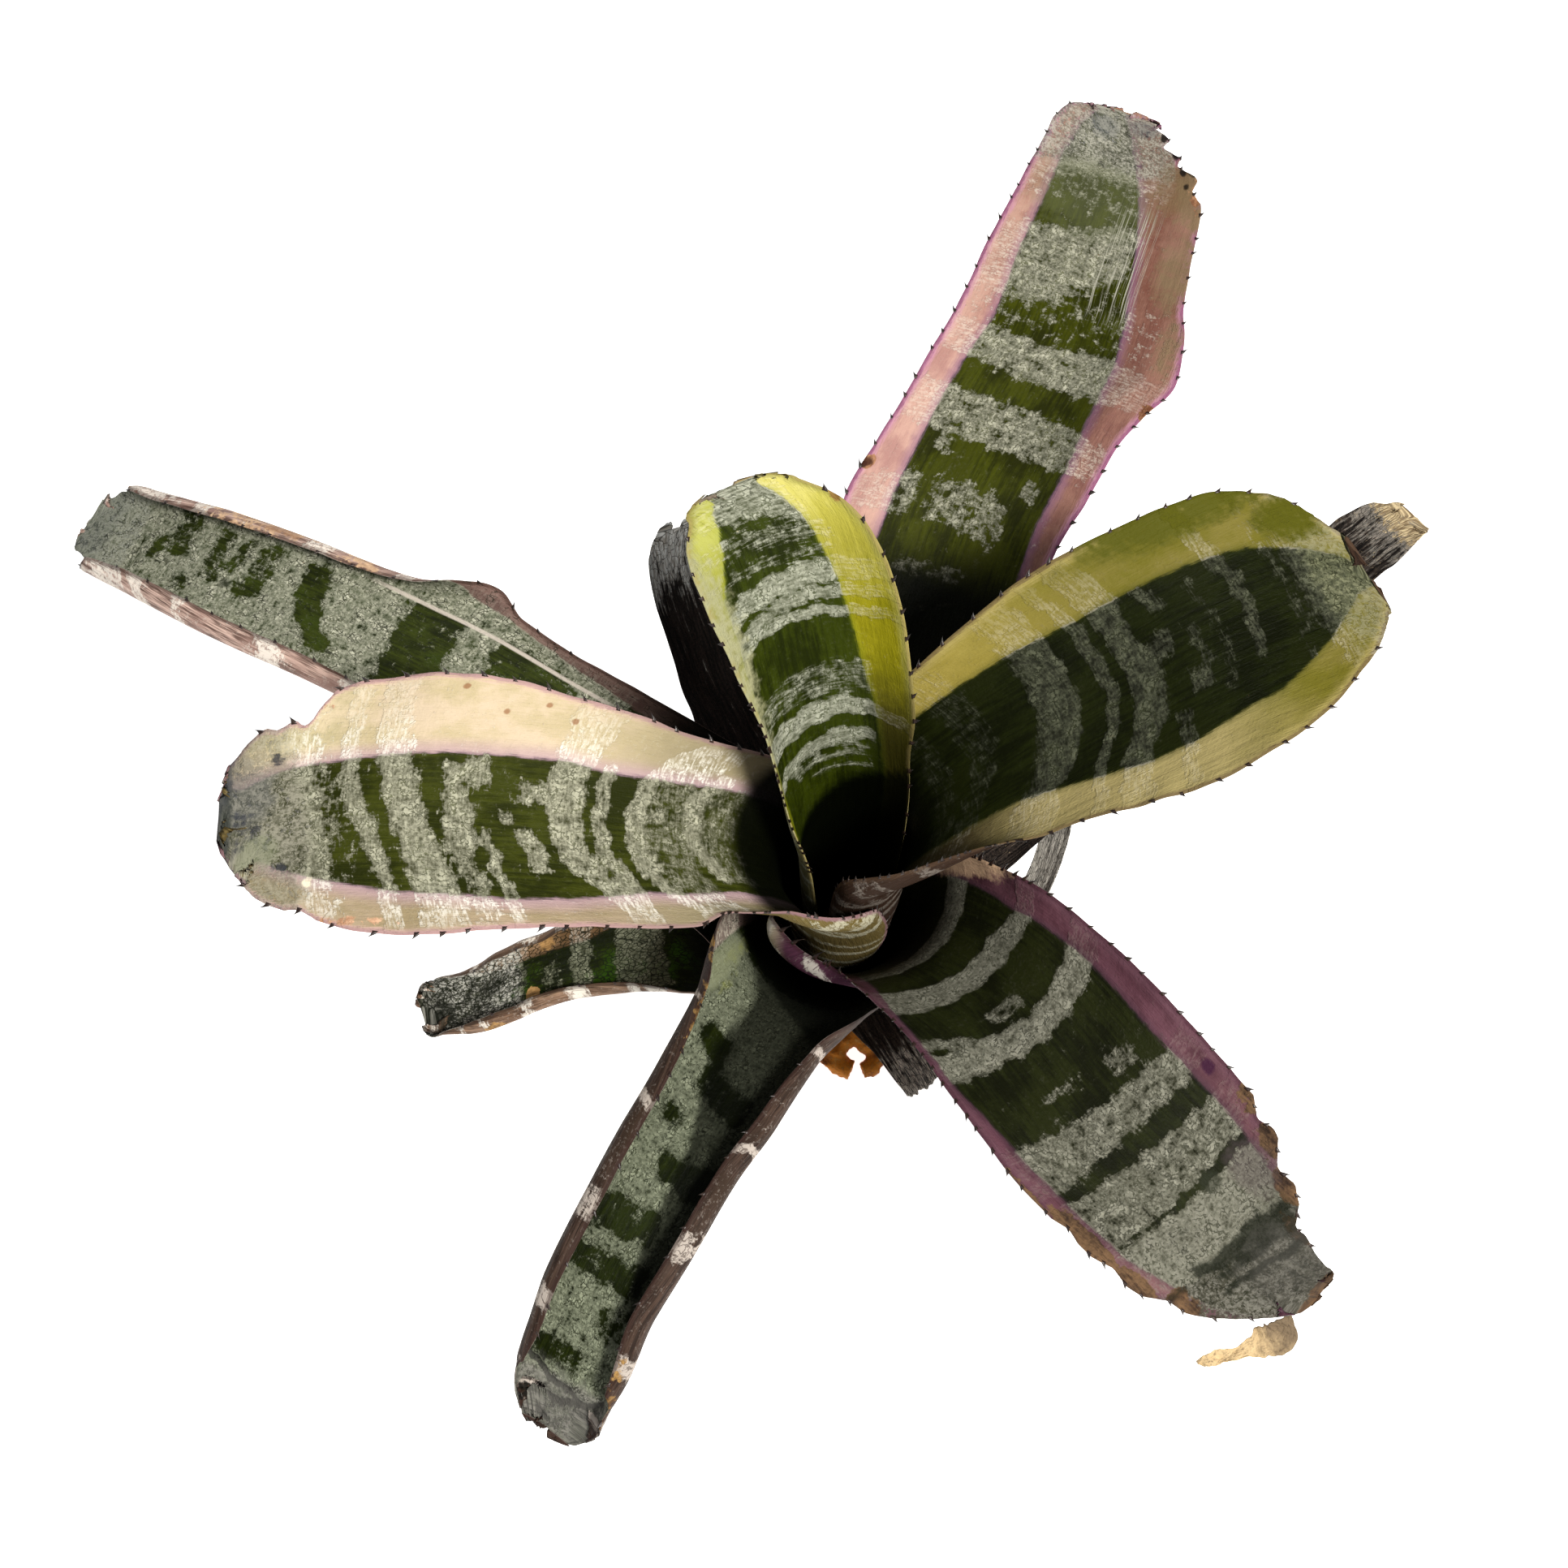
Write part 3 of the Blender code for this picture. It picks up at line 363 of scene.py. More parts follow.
def rows_along(leaf, step):
    """Places s of the mesh rows: far apart in the sheath, closer on the blade and closest round the tip."""
    sheath = leaf.place_of(SHEATH_RADIUS)
    tip = leaf.length - TIP_RUN * (1 - np.sin(np.linspace(0, math.pi / 2, TIP_ROWS)))
    s = [np.arange(0, sheath, SHEATH_STEP), np.arange(sheath, leaf.length - TIP_RUN, step), tip]
    return np.unique(np.clip(np.concatenate(s), 0, leaf.length))


def columns(leaf, s, flat_n, strip_n):
    """Places t across the blade for every row s, closer together in the margin strips."""
    halves = []
    for w in (leaf.width(s, RIGHT), leaf.width(s, LEFT)):
        f = (1 - leaf.strip(w) / w)[:, None]
        inner = f * np.linspace(0, 1, flat_n + 1)[None, 1:]
        outer = f + (1 - f) * np.linspace(0, 1, strip_n + 1)[None, 1:]
        halves.append(np.concatenate([inner, outer], 1))
    return np.concatenate([-halves[0][:, ::-1], np.zeros((len(s), 1)), halves[1]], 1)


def notched(notches, s, t):
    """Depth of the bites out of the margins."""
    cut = np.zeros(t.shape)
    for at, side, depth, wide in notches:
        x = np.abs(s - at) / wide
        cut = np.maximum(cut, np.where(t * side >= 0, depth * np.clip(1 - x, 0, 1) ** 0.8, 0))
    return cut


def torn_back(leaf, look, s, v):
    """How far the torn end draws back."""
    torn, seed = look["torn"], look["seed"]
    ragged = 0.5 + 0.5 * ripple(seed + 31, v, 0, 9, 60) + 0.4 * ripple(seed + 32, v, 0, 2.6, 60)
    ragged = torn * ragged
    for at, depth, wide in look["tears"]:
        ragged = ragged + depth * np.clip(1 - np.abs(v - at) / wide, 0, 1)
    return np.maximum(ragged, 0) * smooth(leaf.length - TORN_RUN, leaf.length, s)


def relief(leaf, look, s, v, rim):
    """How far the face stands off the smooth form: swells, a frilled margin and fine ribs."""
    seed = look["seed"]
    lift = look["rough"] * ripple(seed, s, v, 46, 60)
    lift = lift + look["frill"] * smooth(9, 0, rim) * ripple(seed + 1, s, v * 0.2, 13, 60)
    lift = lift + look["rib"] * np.sin(v * 2.1 + ripple(seed + 2, s, v, 90, 30))
    return lift * smooth(*RELIEF_RADII, leaf.at(s, R))


def outer_face(leaf, top, s, rim):
    """Points of the outer face, a blade's thickness from the inner one and thinner at the rim and tip."""
    n = np.cross(np.gradient(top, axis=0), np.gradient(top, axis=1))
    n = n / (np.linalg.norm(n, axis=-1, keepdims=True) + 1e-9)
    base, blade = leaf.spec.get("th", THICKNESS)
    thick = base + (blade - base) * np.minimum(1, 2 * s / leaf.length)
    thick = thick * (1 - 0.5 * smooth(3.5, 0, rim)) * smooth(-2.5, 3, leaf.length - s + 0.5)
    return top - n * thick[..., None]


def round_rim(build, top, under, place, marks, wear):
    """Joins the two faces over a middle line pushed a little outwards, all the way round the blade."""
    rows, cols = top.shape[:2]
    ring = [(i, cols - 1) for i in range(rows)] + [(rows - 1, j) for j in range(cols - 2, 0, -1)]
    ring = np.array(ring + [(i, 0) for i in range(rows - 1, -1, -1)] + [(0, j) for j in range(1, cols - 1)])
    at = (ring[:, 0], ring[:, 1])
    a, b = top[at], under[at]
    mid = (a + b) / 2
    outward = np.cross(a - b, np.roll(mid, -1, 0) - np.roll(mid, 1, 0))
    outward /= np.linalg.norm(outward, axis=1, keepdims=True) + 1e-9
    mid = mid + outward * 0.3 * np.linalg.norm(a - b, axis=1, keepdims=True)
    upper = [int(i) for i in ring[:, 0] * cols + ring[:, 1]]
    lower = [i + rows * cols for i in upper]
    line = list(range(build.count, build.count + len(ring)))
    build.add(mid, [], FACE, place=place[at] * (1, 1, 0), marks=marks[at], wear=wear[at])
    for k in range(len(ring)):
        after = (k + 1) % len(ring)
        build.link([(upper[after], line[after], line[k], upper[k])], FACE)
        build.link([(line[after], lower[after], lower[k], line[k])], BACK)


def spine(origin, out, along, height, width, hook):
    """A hooked marginal spine, flattened, leaning towards the leaf's tip."""
    normal = np.cross(along, out)
    verts = []
    for i in range(SPINE_RINGS):
        q = i / SPINE_RINGS
        centre = origin + out * (height * q - SPINE_ROOT) + along * hook * height * q ** 1.8
        half, thick = width * (1 - q) ** 1.35, 0.42 * (1 - q) ** 0.8
        for k in range(SPINE_SIDES):
            a = 2 * math.pi * k / SPINE_SIDES
            back = 1.25 if math.cos(a) < 0 else 0.75
            verts.append(centre + along * half * back * math.cos(a) + normal * thick * math.sin(a))
    verts.append(origin + out * (height - SPINE_ROOT) + along * hook * height)
    last = (SPINE_RINGS - 1) * SPINE_SIDES
    faces = [(a, d, c, b) for a, b, c, d in tube_faces(SPINE_RINGS, SPINE_SIDES)]
    faces += [(last + k, len(verts) - 1, last + (k + 1) % SPINE_SIDES) for k in range(SPINE_SIDES)]
    return verts, faces + [tuple(range(SPINE_SIDES))]


def add_spines(build, leaf, look, s, top, under, place):
    """Hooked spines along both margins, and the closer rows of them that fringe a lip."""
    rng = np.random.default_rng(look["seed"] + 3)
    rows, cols = top.shape[:2]
    start_radius, pitch, tall = look["spines"]
    start = leaf.place_of(start_radius)
    heights = -np.append(np.repeat(np.arange(SPINE_RINGS), SPINE_SIDES), SPINE_RINGS) / SPINE_RINGS
    runs = [(side, start, leaf.length - SPINE_END, pitch, tall) for side in (-1, 1)] + look["fringe"]
    for side, at, last, pitch, tall in runs:
        col = 0 if side < 0 else cols - 1
        inner = col - side * 3
        at += rng.uniform(0, 0.4) * pitch
        while at < last:
            i = int(np.searchsorted(s, at))
            big = 1 + look["comb"] * float(smooth(48, 24, leaf.at(at, R)))
            edge = (top[i, col] + under[i, col]) / 2
            along = top[min(i + 2, rows - 1), col] - top[i - 2, col]
            along /= np.linalg.norm(along)
            out = edge - (top[i, inner] + under[i, inner]) / 2
            out -= along * np.dot(out, along)
            out /= np.linalg.norm(out)
            height = tall * big * rng.uniform(0.75, 1.2)
            width = (0.8 + 0.2 * big) * rng.uniform(0.95, 1.3)
            verts, faces = spine(edge, out, along, height, width, rng.uniform(0.45, 0.95))
            here = np.tile(place[i, col], (len(verts), 1))
            here[:, 2] = heights
            build.add(verts, faces, SPINE, place=here)
            at += pitch * rng.uniform(0.7, 1.3)


def leaf_build(name, look):
    """The fine mesh of one leaf: both faces, a rounded rim, and its spines."""
    look = {**LOOK_DEFAULTS, **look}
    leaf, build, seed = Leaf(name), Build(), look["seed"]
    s = rows_along(leaf, look["step"])
    t = columns(leaf, s, look["flat_n"], look["strip_n"])
    S = np.broadcast_to(s[:, None], t.shape)
    W = np.where(t >= 0, leaf.width(s, LEFT)[:, None], leaf.width(s, RIGHT)[:, None])
    cut = notched(look["notches"], S, t)
    t = t * (1 - np.minimum(cut, 0.8 * W) / W * np.abs(t))
    V = t * W
    S = S - torn_back(leaf, look, S, V)
    rim = W - np.abs(V) - cut * np.abs(t)
    creases = band_field(look["creases"], S, V)
    top = leaf.surface(S, t, relief(leaf, look, S, V, rim) - look["crease"] * creases)
    under = outer_face(leaf, top, S, rim)

    green = np.array(look["green"], float)
    half = [np.interp(S, green[:, 0], green[:, i]) for i in (1, 2)]
    inside = np.where(t >= 0, half[0], half[1]) - np.abs(V)
    shade = look["shade"](S, V, rim)
    place = np.stack([S, V + LEAF_OFFSET * seed, rim], -1)
    marks = np.stack([inside, band_field(look["bands"], S, V), shade], -1)
    back = np.stack([inside, underside_field(seed + 7, S, V, look["pitch"], look["half"]), shade], -1)
    wear = np.stack([spots(look[key], S, V) for key in ("dead", "stain", "flush")], -1)
    wear[..., 1] = np.maximum(wear[..., 1], creases)
    faces = grid_faces(*t.shape)
    build.add(top, faces, FACE, place=place, marks=marks, wear=wear)
    build.add(under, faces[:, ::-1], BACK, place=place, marks=back, wear=wear)
    round_rim(build, top, under, place, marks, wear)
    if "spines" in look:
        add_spines(build, leaf, look, s, top, under, place)
    return build


# ------------------------------------------------------------------ materials
def rgb(code):
    """Linear colour of an sRGB hex code."""
    c = [int(code[i:i + 2], 16) / 255 for i in (0, 2, 4)]
    return tuple(x / 12.92 if x <= 0.04045 else ((x + 0.055) / 1.055) ** 2.4 for x in c) + (1.0,)


class Graph:
    """A short way to write shader nodes."""

    def __init__(self, name):
        self.mat = bpy.data.materials.new(name)
        self.mat.use_nodes = True
        self.tree = self.mat.node_tree
        self.bsdf = self.tree.nodes["Principled BSDF"]

    def put(self, socket, value):
        if isinstance(value, bpy.types.NodeSocket):
            self.tree.links.new(value, socket)
        elif isinstance(value, str):
            socket.default_value = rgb(value)
        else:
            socket.default_value = value

    def attribute(self, name):
        """The three values of a mesh attribute."""
        n = self.tree.nodes.new("ShaderNodeAttribute")
        n.attribute_name = name
        parts = self.tree.nodes.new("ShaderNodeSeparateXYZ")
        self.put(parts.inputs[0], n.outputs["Vector"])
        return parts.outputs[0], parts.outputs[1], parts.outputs[2]

    def object_place(self):
        return self.tree.nodes.new("ShaderNodeTexCoord").outputs["Object"]

    def join(self, x, y, z):
        n = self.tree.nodes.new("ShaderNodeCombineXYZ")
        for socket, value in zip(n.inputs, (x, y, z)):
            self.put(socket, value)
        return n.outputs[0]

    def math(self, op, *terms):
        """One operation, or the same one over and over along the terms."""
        total = terms[0]
        for term in terms[1:] or [0.0]:
            n = self.tree.nodes.new("ShaderNodeMath")
            n.operation = op
            self.put(n.inputs[0], total)
            self.put(n.inputs[1], term)
            total = n.outputs[0]
        return total

    def times(self, *terms):
        return self.math("MULTIPLY", *terms)

    def most(self, *terms):
        return self.math("MAXIMUM", *terms)

    def sum(self, *terms):
        """Weighted sum of (socket, weight) pairs and plain terms."""
        parts = [self.times(*term) if isinstance(term, tuple) else term for term in terms]
        return self.math("ADD", *parts)

    def span(self, x, lo, hi, a=0.0, b=1.0):
        """Smooth step of x from lo to hi, giving a to b."""
        n = self.tree.nodes.new("ShaderNodeMapRange")
        n.interpolation_type = "SMOOTHSTEP"
        for key, value in (("Value", x), ("From Min", lo), ("From Max", hi), ("To Min", a), ("To Max", b)):
            self.put(n.inputs[key], value)
        return n.outputs[0]

    def mix(self, f, a, b, blend="MIX"):
        n = self.tree.nodes.new("ShaderNodeMix")
        n.data_type, n.blend_type = "RGBA", blend
        for i, value in ((0, f), (6, a), (7, b)):
            self.put(n.inputs[i], value)
        return n.outputs[2]

    def noise(self, vector, scale=1.0, detail=3.0, rough=0.55):
        n = self.tree.nodes.new("ShaderNodeTexNoise")
        for key, value in (("Vector", vector), ("Scale", scale), ("Detail", detail), ("Roughness", rough)):
            self.put(n.inputs[key], value)
        return n.outputs["Fac"]

    def cracks(self, vector):
        """Distance from the borders of the cells of a crackle."""
        n = self.tree.nodes.new("ShaderNodeTexVoronoi")
        n.feature = "DISTANCE_TO_EDGE"
        self.put(n.inputs["Vector"], vector)
        self.put(n.inputs["Scale"], 1.0)
        return n.outputs["Distance"]

    def close(self, colour, rough, height, depth, specular):
        """Ends the material: base colour, roughness, a bump of the given depth in metres, and its shine."""
        bump = self.tree.nodes.new("ShaderNodeBump")
        self.put(bump.inputs["Strength"], 1.0)
        self.put(bump.inputs["Distance"], depth)
        self.put(bump.inputs["Height"], height)
        for key, value in (("Base Color", colour), ("Roughness", rough), ("Specular IOR Level", specular),
                           ("Normal", bump.outputs[0])):
            self.put(self.bsdf.inputs[key], value)
        return self.mat


# The last colour is the black of painted shade, which each leaf's shade field mixes in.
SCRATCH_GREY, CRACK_DARK, KEEL_PALE, PAINTED_SHADE_BLACK = "a9a79a", "15190f", "b9b0a6", "020301"
# Textures of the blade: scale along and across it, seed, detail and roughness.
TEXTURES = dict(streak=(0.07, 0.85, 1, 3, 0.55), fine=(0.2, 3, 7, 2, 0.55), grain=(1.15, 1.3, 3, 2, 0.7),
                fleck=(0.56, 0.62, 13, 3, 0.65), blot=(0.3, 0.26, 5, 4, 0.6), cloud=(0.05, 0.07, 11, 3, 0.55),
                weave=(1.5, 0.24, 19, 3, 0.6), worm=(0.6, 0.6, 29, 2, 0.5))


class Skin(Graph):
    """A leaf's material, with fields t over the blade: the marks of its mesh, and textures about 0."""

    def __init__(self, name, seed):
        super().__init__(name)
        self.t = t = dict(zip(("s", "v", "rim"), self.attribute("place")))
        t.update(zip(("inside", "band", "shade"), self.attribute("marks")))
        t.update(zip(("dead", "stain", "flush"), self.attribute("wear")))
        t["across"] = self.math("SUBTRACT", t["v"], LEAF_OFFSET * seed)
        for field, (along, across, place, detail, rough) in TEXTURES.items():
            texture = self.noise(self.stretched(along, across, place), 1.0, detail, rough)
            t[field] = self.math("SUBTRACT", texture, 0.5)

    def stretched(self, along, across, seed):
        """The blade's own coordinates, scaled for a texture."""
        return self.join(self.times(self.t["s"], along), self.times(self.t["v"], across), seed)

    def weigh(self, **weights):
        """Weighted sum of fields."""
        return self.sum(*[(self.t[name], weight) for name, weight in weights.items()])

    def blend(self, lo, hi, a=0.0, b=1.0, **weights):
        """Smooth step of a weighted sum of fields, from lo to hi, giving a to b."""
        return self.span(self.weigh(**weights), lo, hi, a, b)

    def window(self, x, lo, hi, fade_in, fade_out):
        """1 for x between lo and hi, fading inwards."""
        return self.times(self.span(x, lo, lo + fade_in), self.span(x, hi, hi - fade_out))


def silver_cover(g, dust, weave=0.4, ragged=1.0, calm=(60, 110)):
    """White scales: how much they cover (ragged bands, a thin dust between them) and how thick they lie."""
    t = g.t
    rough = g.span(t["s"], *calm, 0.45, 1.0)
    noise = g.weigh(blot=2.1 * ragged, fleck=0.7 * ragged, streak=0.7, grain=0.45 * ragged, weave=0.3 + weave)
    silver = g.span(g.sum(t["band"], (noise, rough)), 0.34, 0.64)
    worm_holes = g.span(g.math("ABSOLUTE", t["worm"]), 0.015, 0.06, 0.3, 1.0)
    pits = g.most(worm_holes, g.span(t["blot"], 0.08, -0.04))
    grit = g.blend(-0.24, -0.12, 0.78, 1.0, fleck=0.6, grain=1, weave=0.3)
    silver = g.times(silver, g.math("MINIMUM", pits, grit))
    thin = g.blend(0.06, 0.30, 0.0, dust, grain=1, fleck=0.8, blot=0.5, cloud=0.5)
    lie = g.weigh(blot=1.35, grain=0.45, fleck=0.48, weave=0.2 + 0.5 * weave)
    thick = g.span(g.sum((t["band"], 0.35), (lie, g.span(rough, 0.45, 1.0, 0.7, 1.0))), 0.02, 0.72)
    return g.most(silver, thin), thick


def worn(g, colour, c):
    """Dead papery tissue, dark stains and a coloured flush, each with a ragged border."""
    brown = g.mix(g.blend(-0.26, 0.26, fleck=0.8, streak=0.6, cloud=1), *c["dead"])
    colour = g.mix(g.blend(0.25, 0.75, flush=1, blot=1, fleck=0.4), colour, c["flush"])
    colour = g.mix(g.blend(0.36, 0.56, dead=1, blot=1.4, fleck=0.7), colour, brown)
    dark = g.blend(*c["stain_span"], 0.0, 0.88, stain=1, blot=1, fleck=0.8, streak=0.8)
    return g.mix(dark, colour, c["stain"])


def margin_colour(g, c):
    """The margin: its two tones, another pair towards the tip, the rim, its foot and freckles."""
    t = g.t
    far = g.span(t["s"], c["tip_from"], c["tip_to"])
    tone = g.blend(-0.14, 0.14, fine=0.15, cloud=1, blot=0.4, streak=0.15)
    margin = g.mix(far, g.mix(tone, *c["margin"][:2]), g.mix(tone, *c["margin_tip"]))
    if "sides" in c:
        margin = g.mix(1.0, margin, g.mix(g.span(t["across"], -2, 2), *c["sides"]), "MULTIPLY")
    margin = g.mix(g.blend(c["rim_wide"], 0.4, 0.0, 0.85, rim=1, fine=4), margin, c["margin"][2])
    for start, end, tint, *side in c["foot"]:
        near = g.blend(start, end, s=1, blot=14)
        if side:
            near = g.times(near, g.span(t["across"], -2 * side[0], 2 * side[0]))
        margin = g.mix(near, margin, tint)
    return g.mix(g.blend(0.20, 0.30, 0.0, 0.25, blot=1, grain=0.9), margin, c["edge"])


def silvered(g, c, base, centre):
    """Lays the silver bands over the base colour, thinner on the margin and old towards the tip."""
    t = g.t
    silver, thick = silver_cover(g, c["dust"], c["weave"], c["ragged"], c["calm"])
    tipward = g.blend(1.0, 1.45, band=1, blot=0.6, fleck=0.5)
    speckle = g.blend(-0.16, 0.20, 0.15, 1.0, fleck=0.5, grain=0.4, blot=0.7, weave=1.2)
    outwards = g.times(g.span(t["rim"], 0.5, 3), g.span(t["inside"], -15, -2, 0.35, 1))
    cover = g.times(speckle, c["margin_silver"], outwards)
    patchy = g.span(g.sum(t["fleck"], t["blot"], (tipward, 0.3)), -0.1, 0.2, 0.45, 1.0)
    cover = g.most(cover, g.times(tipward, c["tip_cover"], patchy), g.span(centre, 0, 1, 0, c["cover"]))
    old = g.mix(g.blend(-0.16, 0.16, cloud=0.8, fleck=0.9, grain=0.9), *c["tip_silver"])
    old = g.mix(g.blend(0.06, 0.20, 0.0, 0.6, blot=1, cloud=0.6), old, c["smudge"])
    white = g.mix(tipward, g.mix(centre, c["pale"], g.mix(thick, *c["silver"])), old)
    return g.mix(g.times(silver, cover), base, white), silver


def blemishes(g, c, colour):
    """Single marks: hair scratches, crackle, a pale keel and tints."""
    t = g.t
    if "scratch" in c:
        lo, hi, start, end = c["scratch"]
        inside = g.times(g.window(t["across"], lo - 2, hi + 2, 2, 2), g.window(t["s"], start, end, 12, 12))
        hair = g.span(g.noise(g.stretched(0.03, 2.4, 23), 1.0, 2.0, 0.6), 0.52, 0.64, 0.0, 0.8)
        colour = g.mix(g.times(inside, hair), colour, SCRATCH_GREY)
    if "crack" in c:
        splits = g.span(g.noise(g.stretched(0.42, 1.5, 17), 1.0, 4.0, 0.7), 0.60, 0.66)
        crazing = g.span(g.cracks(g.stretched(0.42, 0.75, 4)), c["craze"], 0.0)
        lines = g.times(crazing, g.span(t["blot"], c["craze_mask"], c["craze_mask"] + 0.12))
        colour = g.mix(g.times(g.most(lines, splits), c["crack"]), colour, CRACK_DARK)
    if "keel" in c:
        at, half, lo, hi = c["keel"]
        near = g.span(g.math("ABSOLUTE", g.math("SUBTRACT", t["across"], at)), half + 0.35, half - 0.2)
        colour = g.mix(g.times(near, g.window(t["s"], lo, hi, 12, 14), 0.85), colour, KEEL_PALE)
    colour = worn(g, colour, c)
    for s0, v0, a, b, tint, power in c["tints"]:
        ds, dv = g.sum((t["s"], 1 / a), -s0 / a), g.sum((t["across"], 1 / b), -v0 / b)
        near = g.sum((ds, ds), (dv, dv), (t["blot"], 2.4), (t["fleck"], 0.8))
        colour = g.mix(g.span(near, 1.5, 0.3, 0.0, power), colour, tint)
    return colour


def face_material(name, c):
    """Cup side of a leaf: green centre, coloured margins, a boundary line, ragged silver bands and painted
    shade.
    """
    g = Skin(name, c["seed"])
    t = g.t
    leafy = g.mix(g.blend(-0.14, 0.16, streak=0.45, fine=0.15, cloud=0.8, fleck=0.2), *c["green"][:2])
    leafy = g.mix(g.span(t["cloud"], 0.02, 0.20, 0.0, 0.7), leafy, c["green"][2])
    border = g.weigh(inside=1, fine=1.6, blot=1.6)
    centre = g.span(border, -0.5, 0.6)
    base = g.mix(centre, margin_colour(g, c), leafy)
    line = g.times(g.span(border, -c["line_wide"], -0.1), g.span(border, 1.1, 0.1))
    base = g.mix(g.times(line, c["line"]), base, c["boundary"])
    edge = g.blend(1.5, 0.5, 0.0, c["edge_power"], rim=1, fine=2, blot=1.5)
    colour, silver = silvered(g, c, g.mix(edge, base, c["edge"]), centre)
    # Painted shade: the shade field darkens the colour to black in the cup's depth and on shadowed parts.
    colour = g.mix(g.times(t["shade"], 0.97), blemishes(g, c, colour), PAINTED_SHADE_BLACK)
    height = g.sum(g.weigh(streak=0.5, fine=0.3, grain=0.4, fleck=0.3), (silver, 0.25))
    return g.close(colour, g.span(silver, 0, 1, 0.5, 0.9), height, 0.0005, 0.04)


def back_material(name, c):
    """Outer side of a leaf: brown-purple skin under white scale bands."""
    g = Skin(name, c["seed"])
    t = g.t
    silver, _ = silver_cover(g, 0.22)
    skin = g.mix(g.blend(-0.14, 0.14, streak=0.8, fine=0.6), *c["back"][:2])
    skin = g.mix(g.span(t["cloud"], -0.04, 0.14), skin, c["back"][2])
    skin = g.mix(g.blend(0.6, -0.6, 0.0, 0.8, inside=1, fine=3), skin, c["back_rim"])
    if "back_foot" in c:
        start, end, tint = c["back_foot"]
        skin = g.mix(g.span(t["s"], start, end), skin, tint)
    colour = g.mix(g.times(silver, c["back_silver"]), skin, c["back_white"])
    colour = g.mix(g.blend(1.5, 0.6, 0.0, 0.7, rim=1, fine=2), colour, c["edge"])
    height = g.sum(g.weigh(streak=1, fine=0.5), (silver, 0.3))
    return g.close(worn(g, colour, c), g.span(silver, 0, 1, 0.55, 0.9), height, 0.0005, 0.06)


def spine_material():
    """Dark horn, darkest towards the point."""
    g = Graph("spine_tissue")
    place = g.attribute("place")
    mottle = g.noise(g.join(*place), 1.2, 3.0, 0.6)
    colour = g.mix(g.span(place[2], -0.15, -0.8), "21110c", "0d0705")
    colour = g.mix(g.span(mottle, 0.45, 0.7, 0.0, 0.5), colour, "3a281c")
    return g.close(colour, 0.42, mottle, 0.0002, 0.5)


def dry_material(name, c):
    """Dead leaf: dark, cracked and fibrous, grey or straw-coloured towards its torn end."""
    g = Skin(name, c["seed"])
    t = g.t
    dark, light, grey_tone = c["tone"]
    colour = g.mix(g.blend(-0.14, 0.16, streak=1, grain=0.6), dark, light)
    grey = g.blend(0.35, 0.75, band=1, streak=2.2, fine=1.2, blot=1.2)
    colour = g.mix(grey, colour, g.mix(g.span(t["fine"], -0.12, 0.12), grey_tone, "5f5c57"))
    cracks = g.span(g.cracks(g.stretched(0.35, 0.8, 4)), 0.07, 0.0, 0.0, 0.85)
    colour = g.mix(g.times(cracks, grey), colour, "120f0d")
    straw = g.blend(0.30, 0.85, 0.0, c["straw"], shade=1, streak=1.2, fleck=2.2, grain=1.4)
    colour = g.mix(straw, colour, g.mix(g.span(t["fine"], -0.10, 0.12), "6d5a40", "cbb892"))
    return g.close(colour, 0.85, g.weigh(streak=1.6, fine=0.9, grain=0.5), 0.0009, 0.12)


def scrap_material():
    """Papery brown at the leaf, straw-coloured further out, with darker blots."""
    g = Skin("scrap_paper", 0)
    colour = g.mix(g.blend(26, 40, s=1, blot=20), "73634f", "cdb389")
    colour = g.mix(g.blend(0.02, 0.24, 0.0, 0.75, blot=1, fleck=0.8), colour, "5f5143")
    return g.close(colour, 0.85, g.weigh(streak=0.8, fleck=0.8, grain=0.5), 0.0006, 0.1)


def root_material():
    """Orange-brown bark of the roots, mottled dark and tan."""
    g = Graph("root_skin")
    big, fine = g.noise(g.object_place(), 90.0, 4.0, 0.6), g.noise(g.object_place(), 520.0, 3.0, 0.7)
    colour = g.mix(g.span(big, 0.38, 0.62), "86480c", "cb7c1e")
    colour = g.mix(g.span(fine, 0.45, 0.7, 0.0, 0.6), colour, "5a2e06")
    colour = g.mix(g.span(g.sum((big, 0.4), (fine, 0.6)), 0.56, 0.68, 0.0, 0.6), colour, "d9a050")
    return g.close(colour, 0.7, g.sum((big, 0.5), (fine, 0.6)), 0.0009, 0.25)


def stem_material():
    g = Graph("stem_bark")
    bark = g.noise(g.object_place(), 300.0, 4.0, 0.65)
    return g.close(g.mix(g.span(bark, 0.4, 0.62), "2a1a0c", "5d4426"), 0.75, bark, 0.0008, 0.2)


def floor_material():
    """White paper that glows a little, so that it stays white in the render."""
    g = Graph("floor_paper")
    for key, value in (("Base Color", (0.93, 0.93, 0.93, 1)), ("Roughness", 0.9), ("Specular IOR Level", 0.1),
                       ("Emission Color", (1, 1, 1, 1)), ("Emission Strength", 0.92)):
        g.put(g.bsdf.inputs[key], value)
    return g.mat
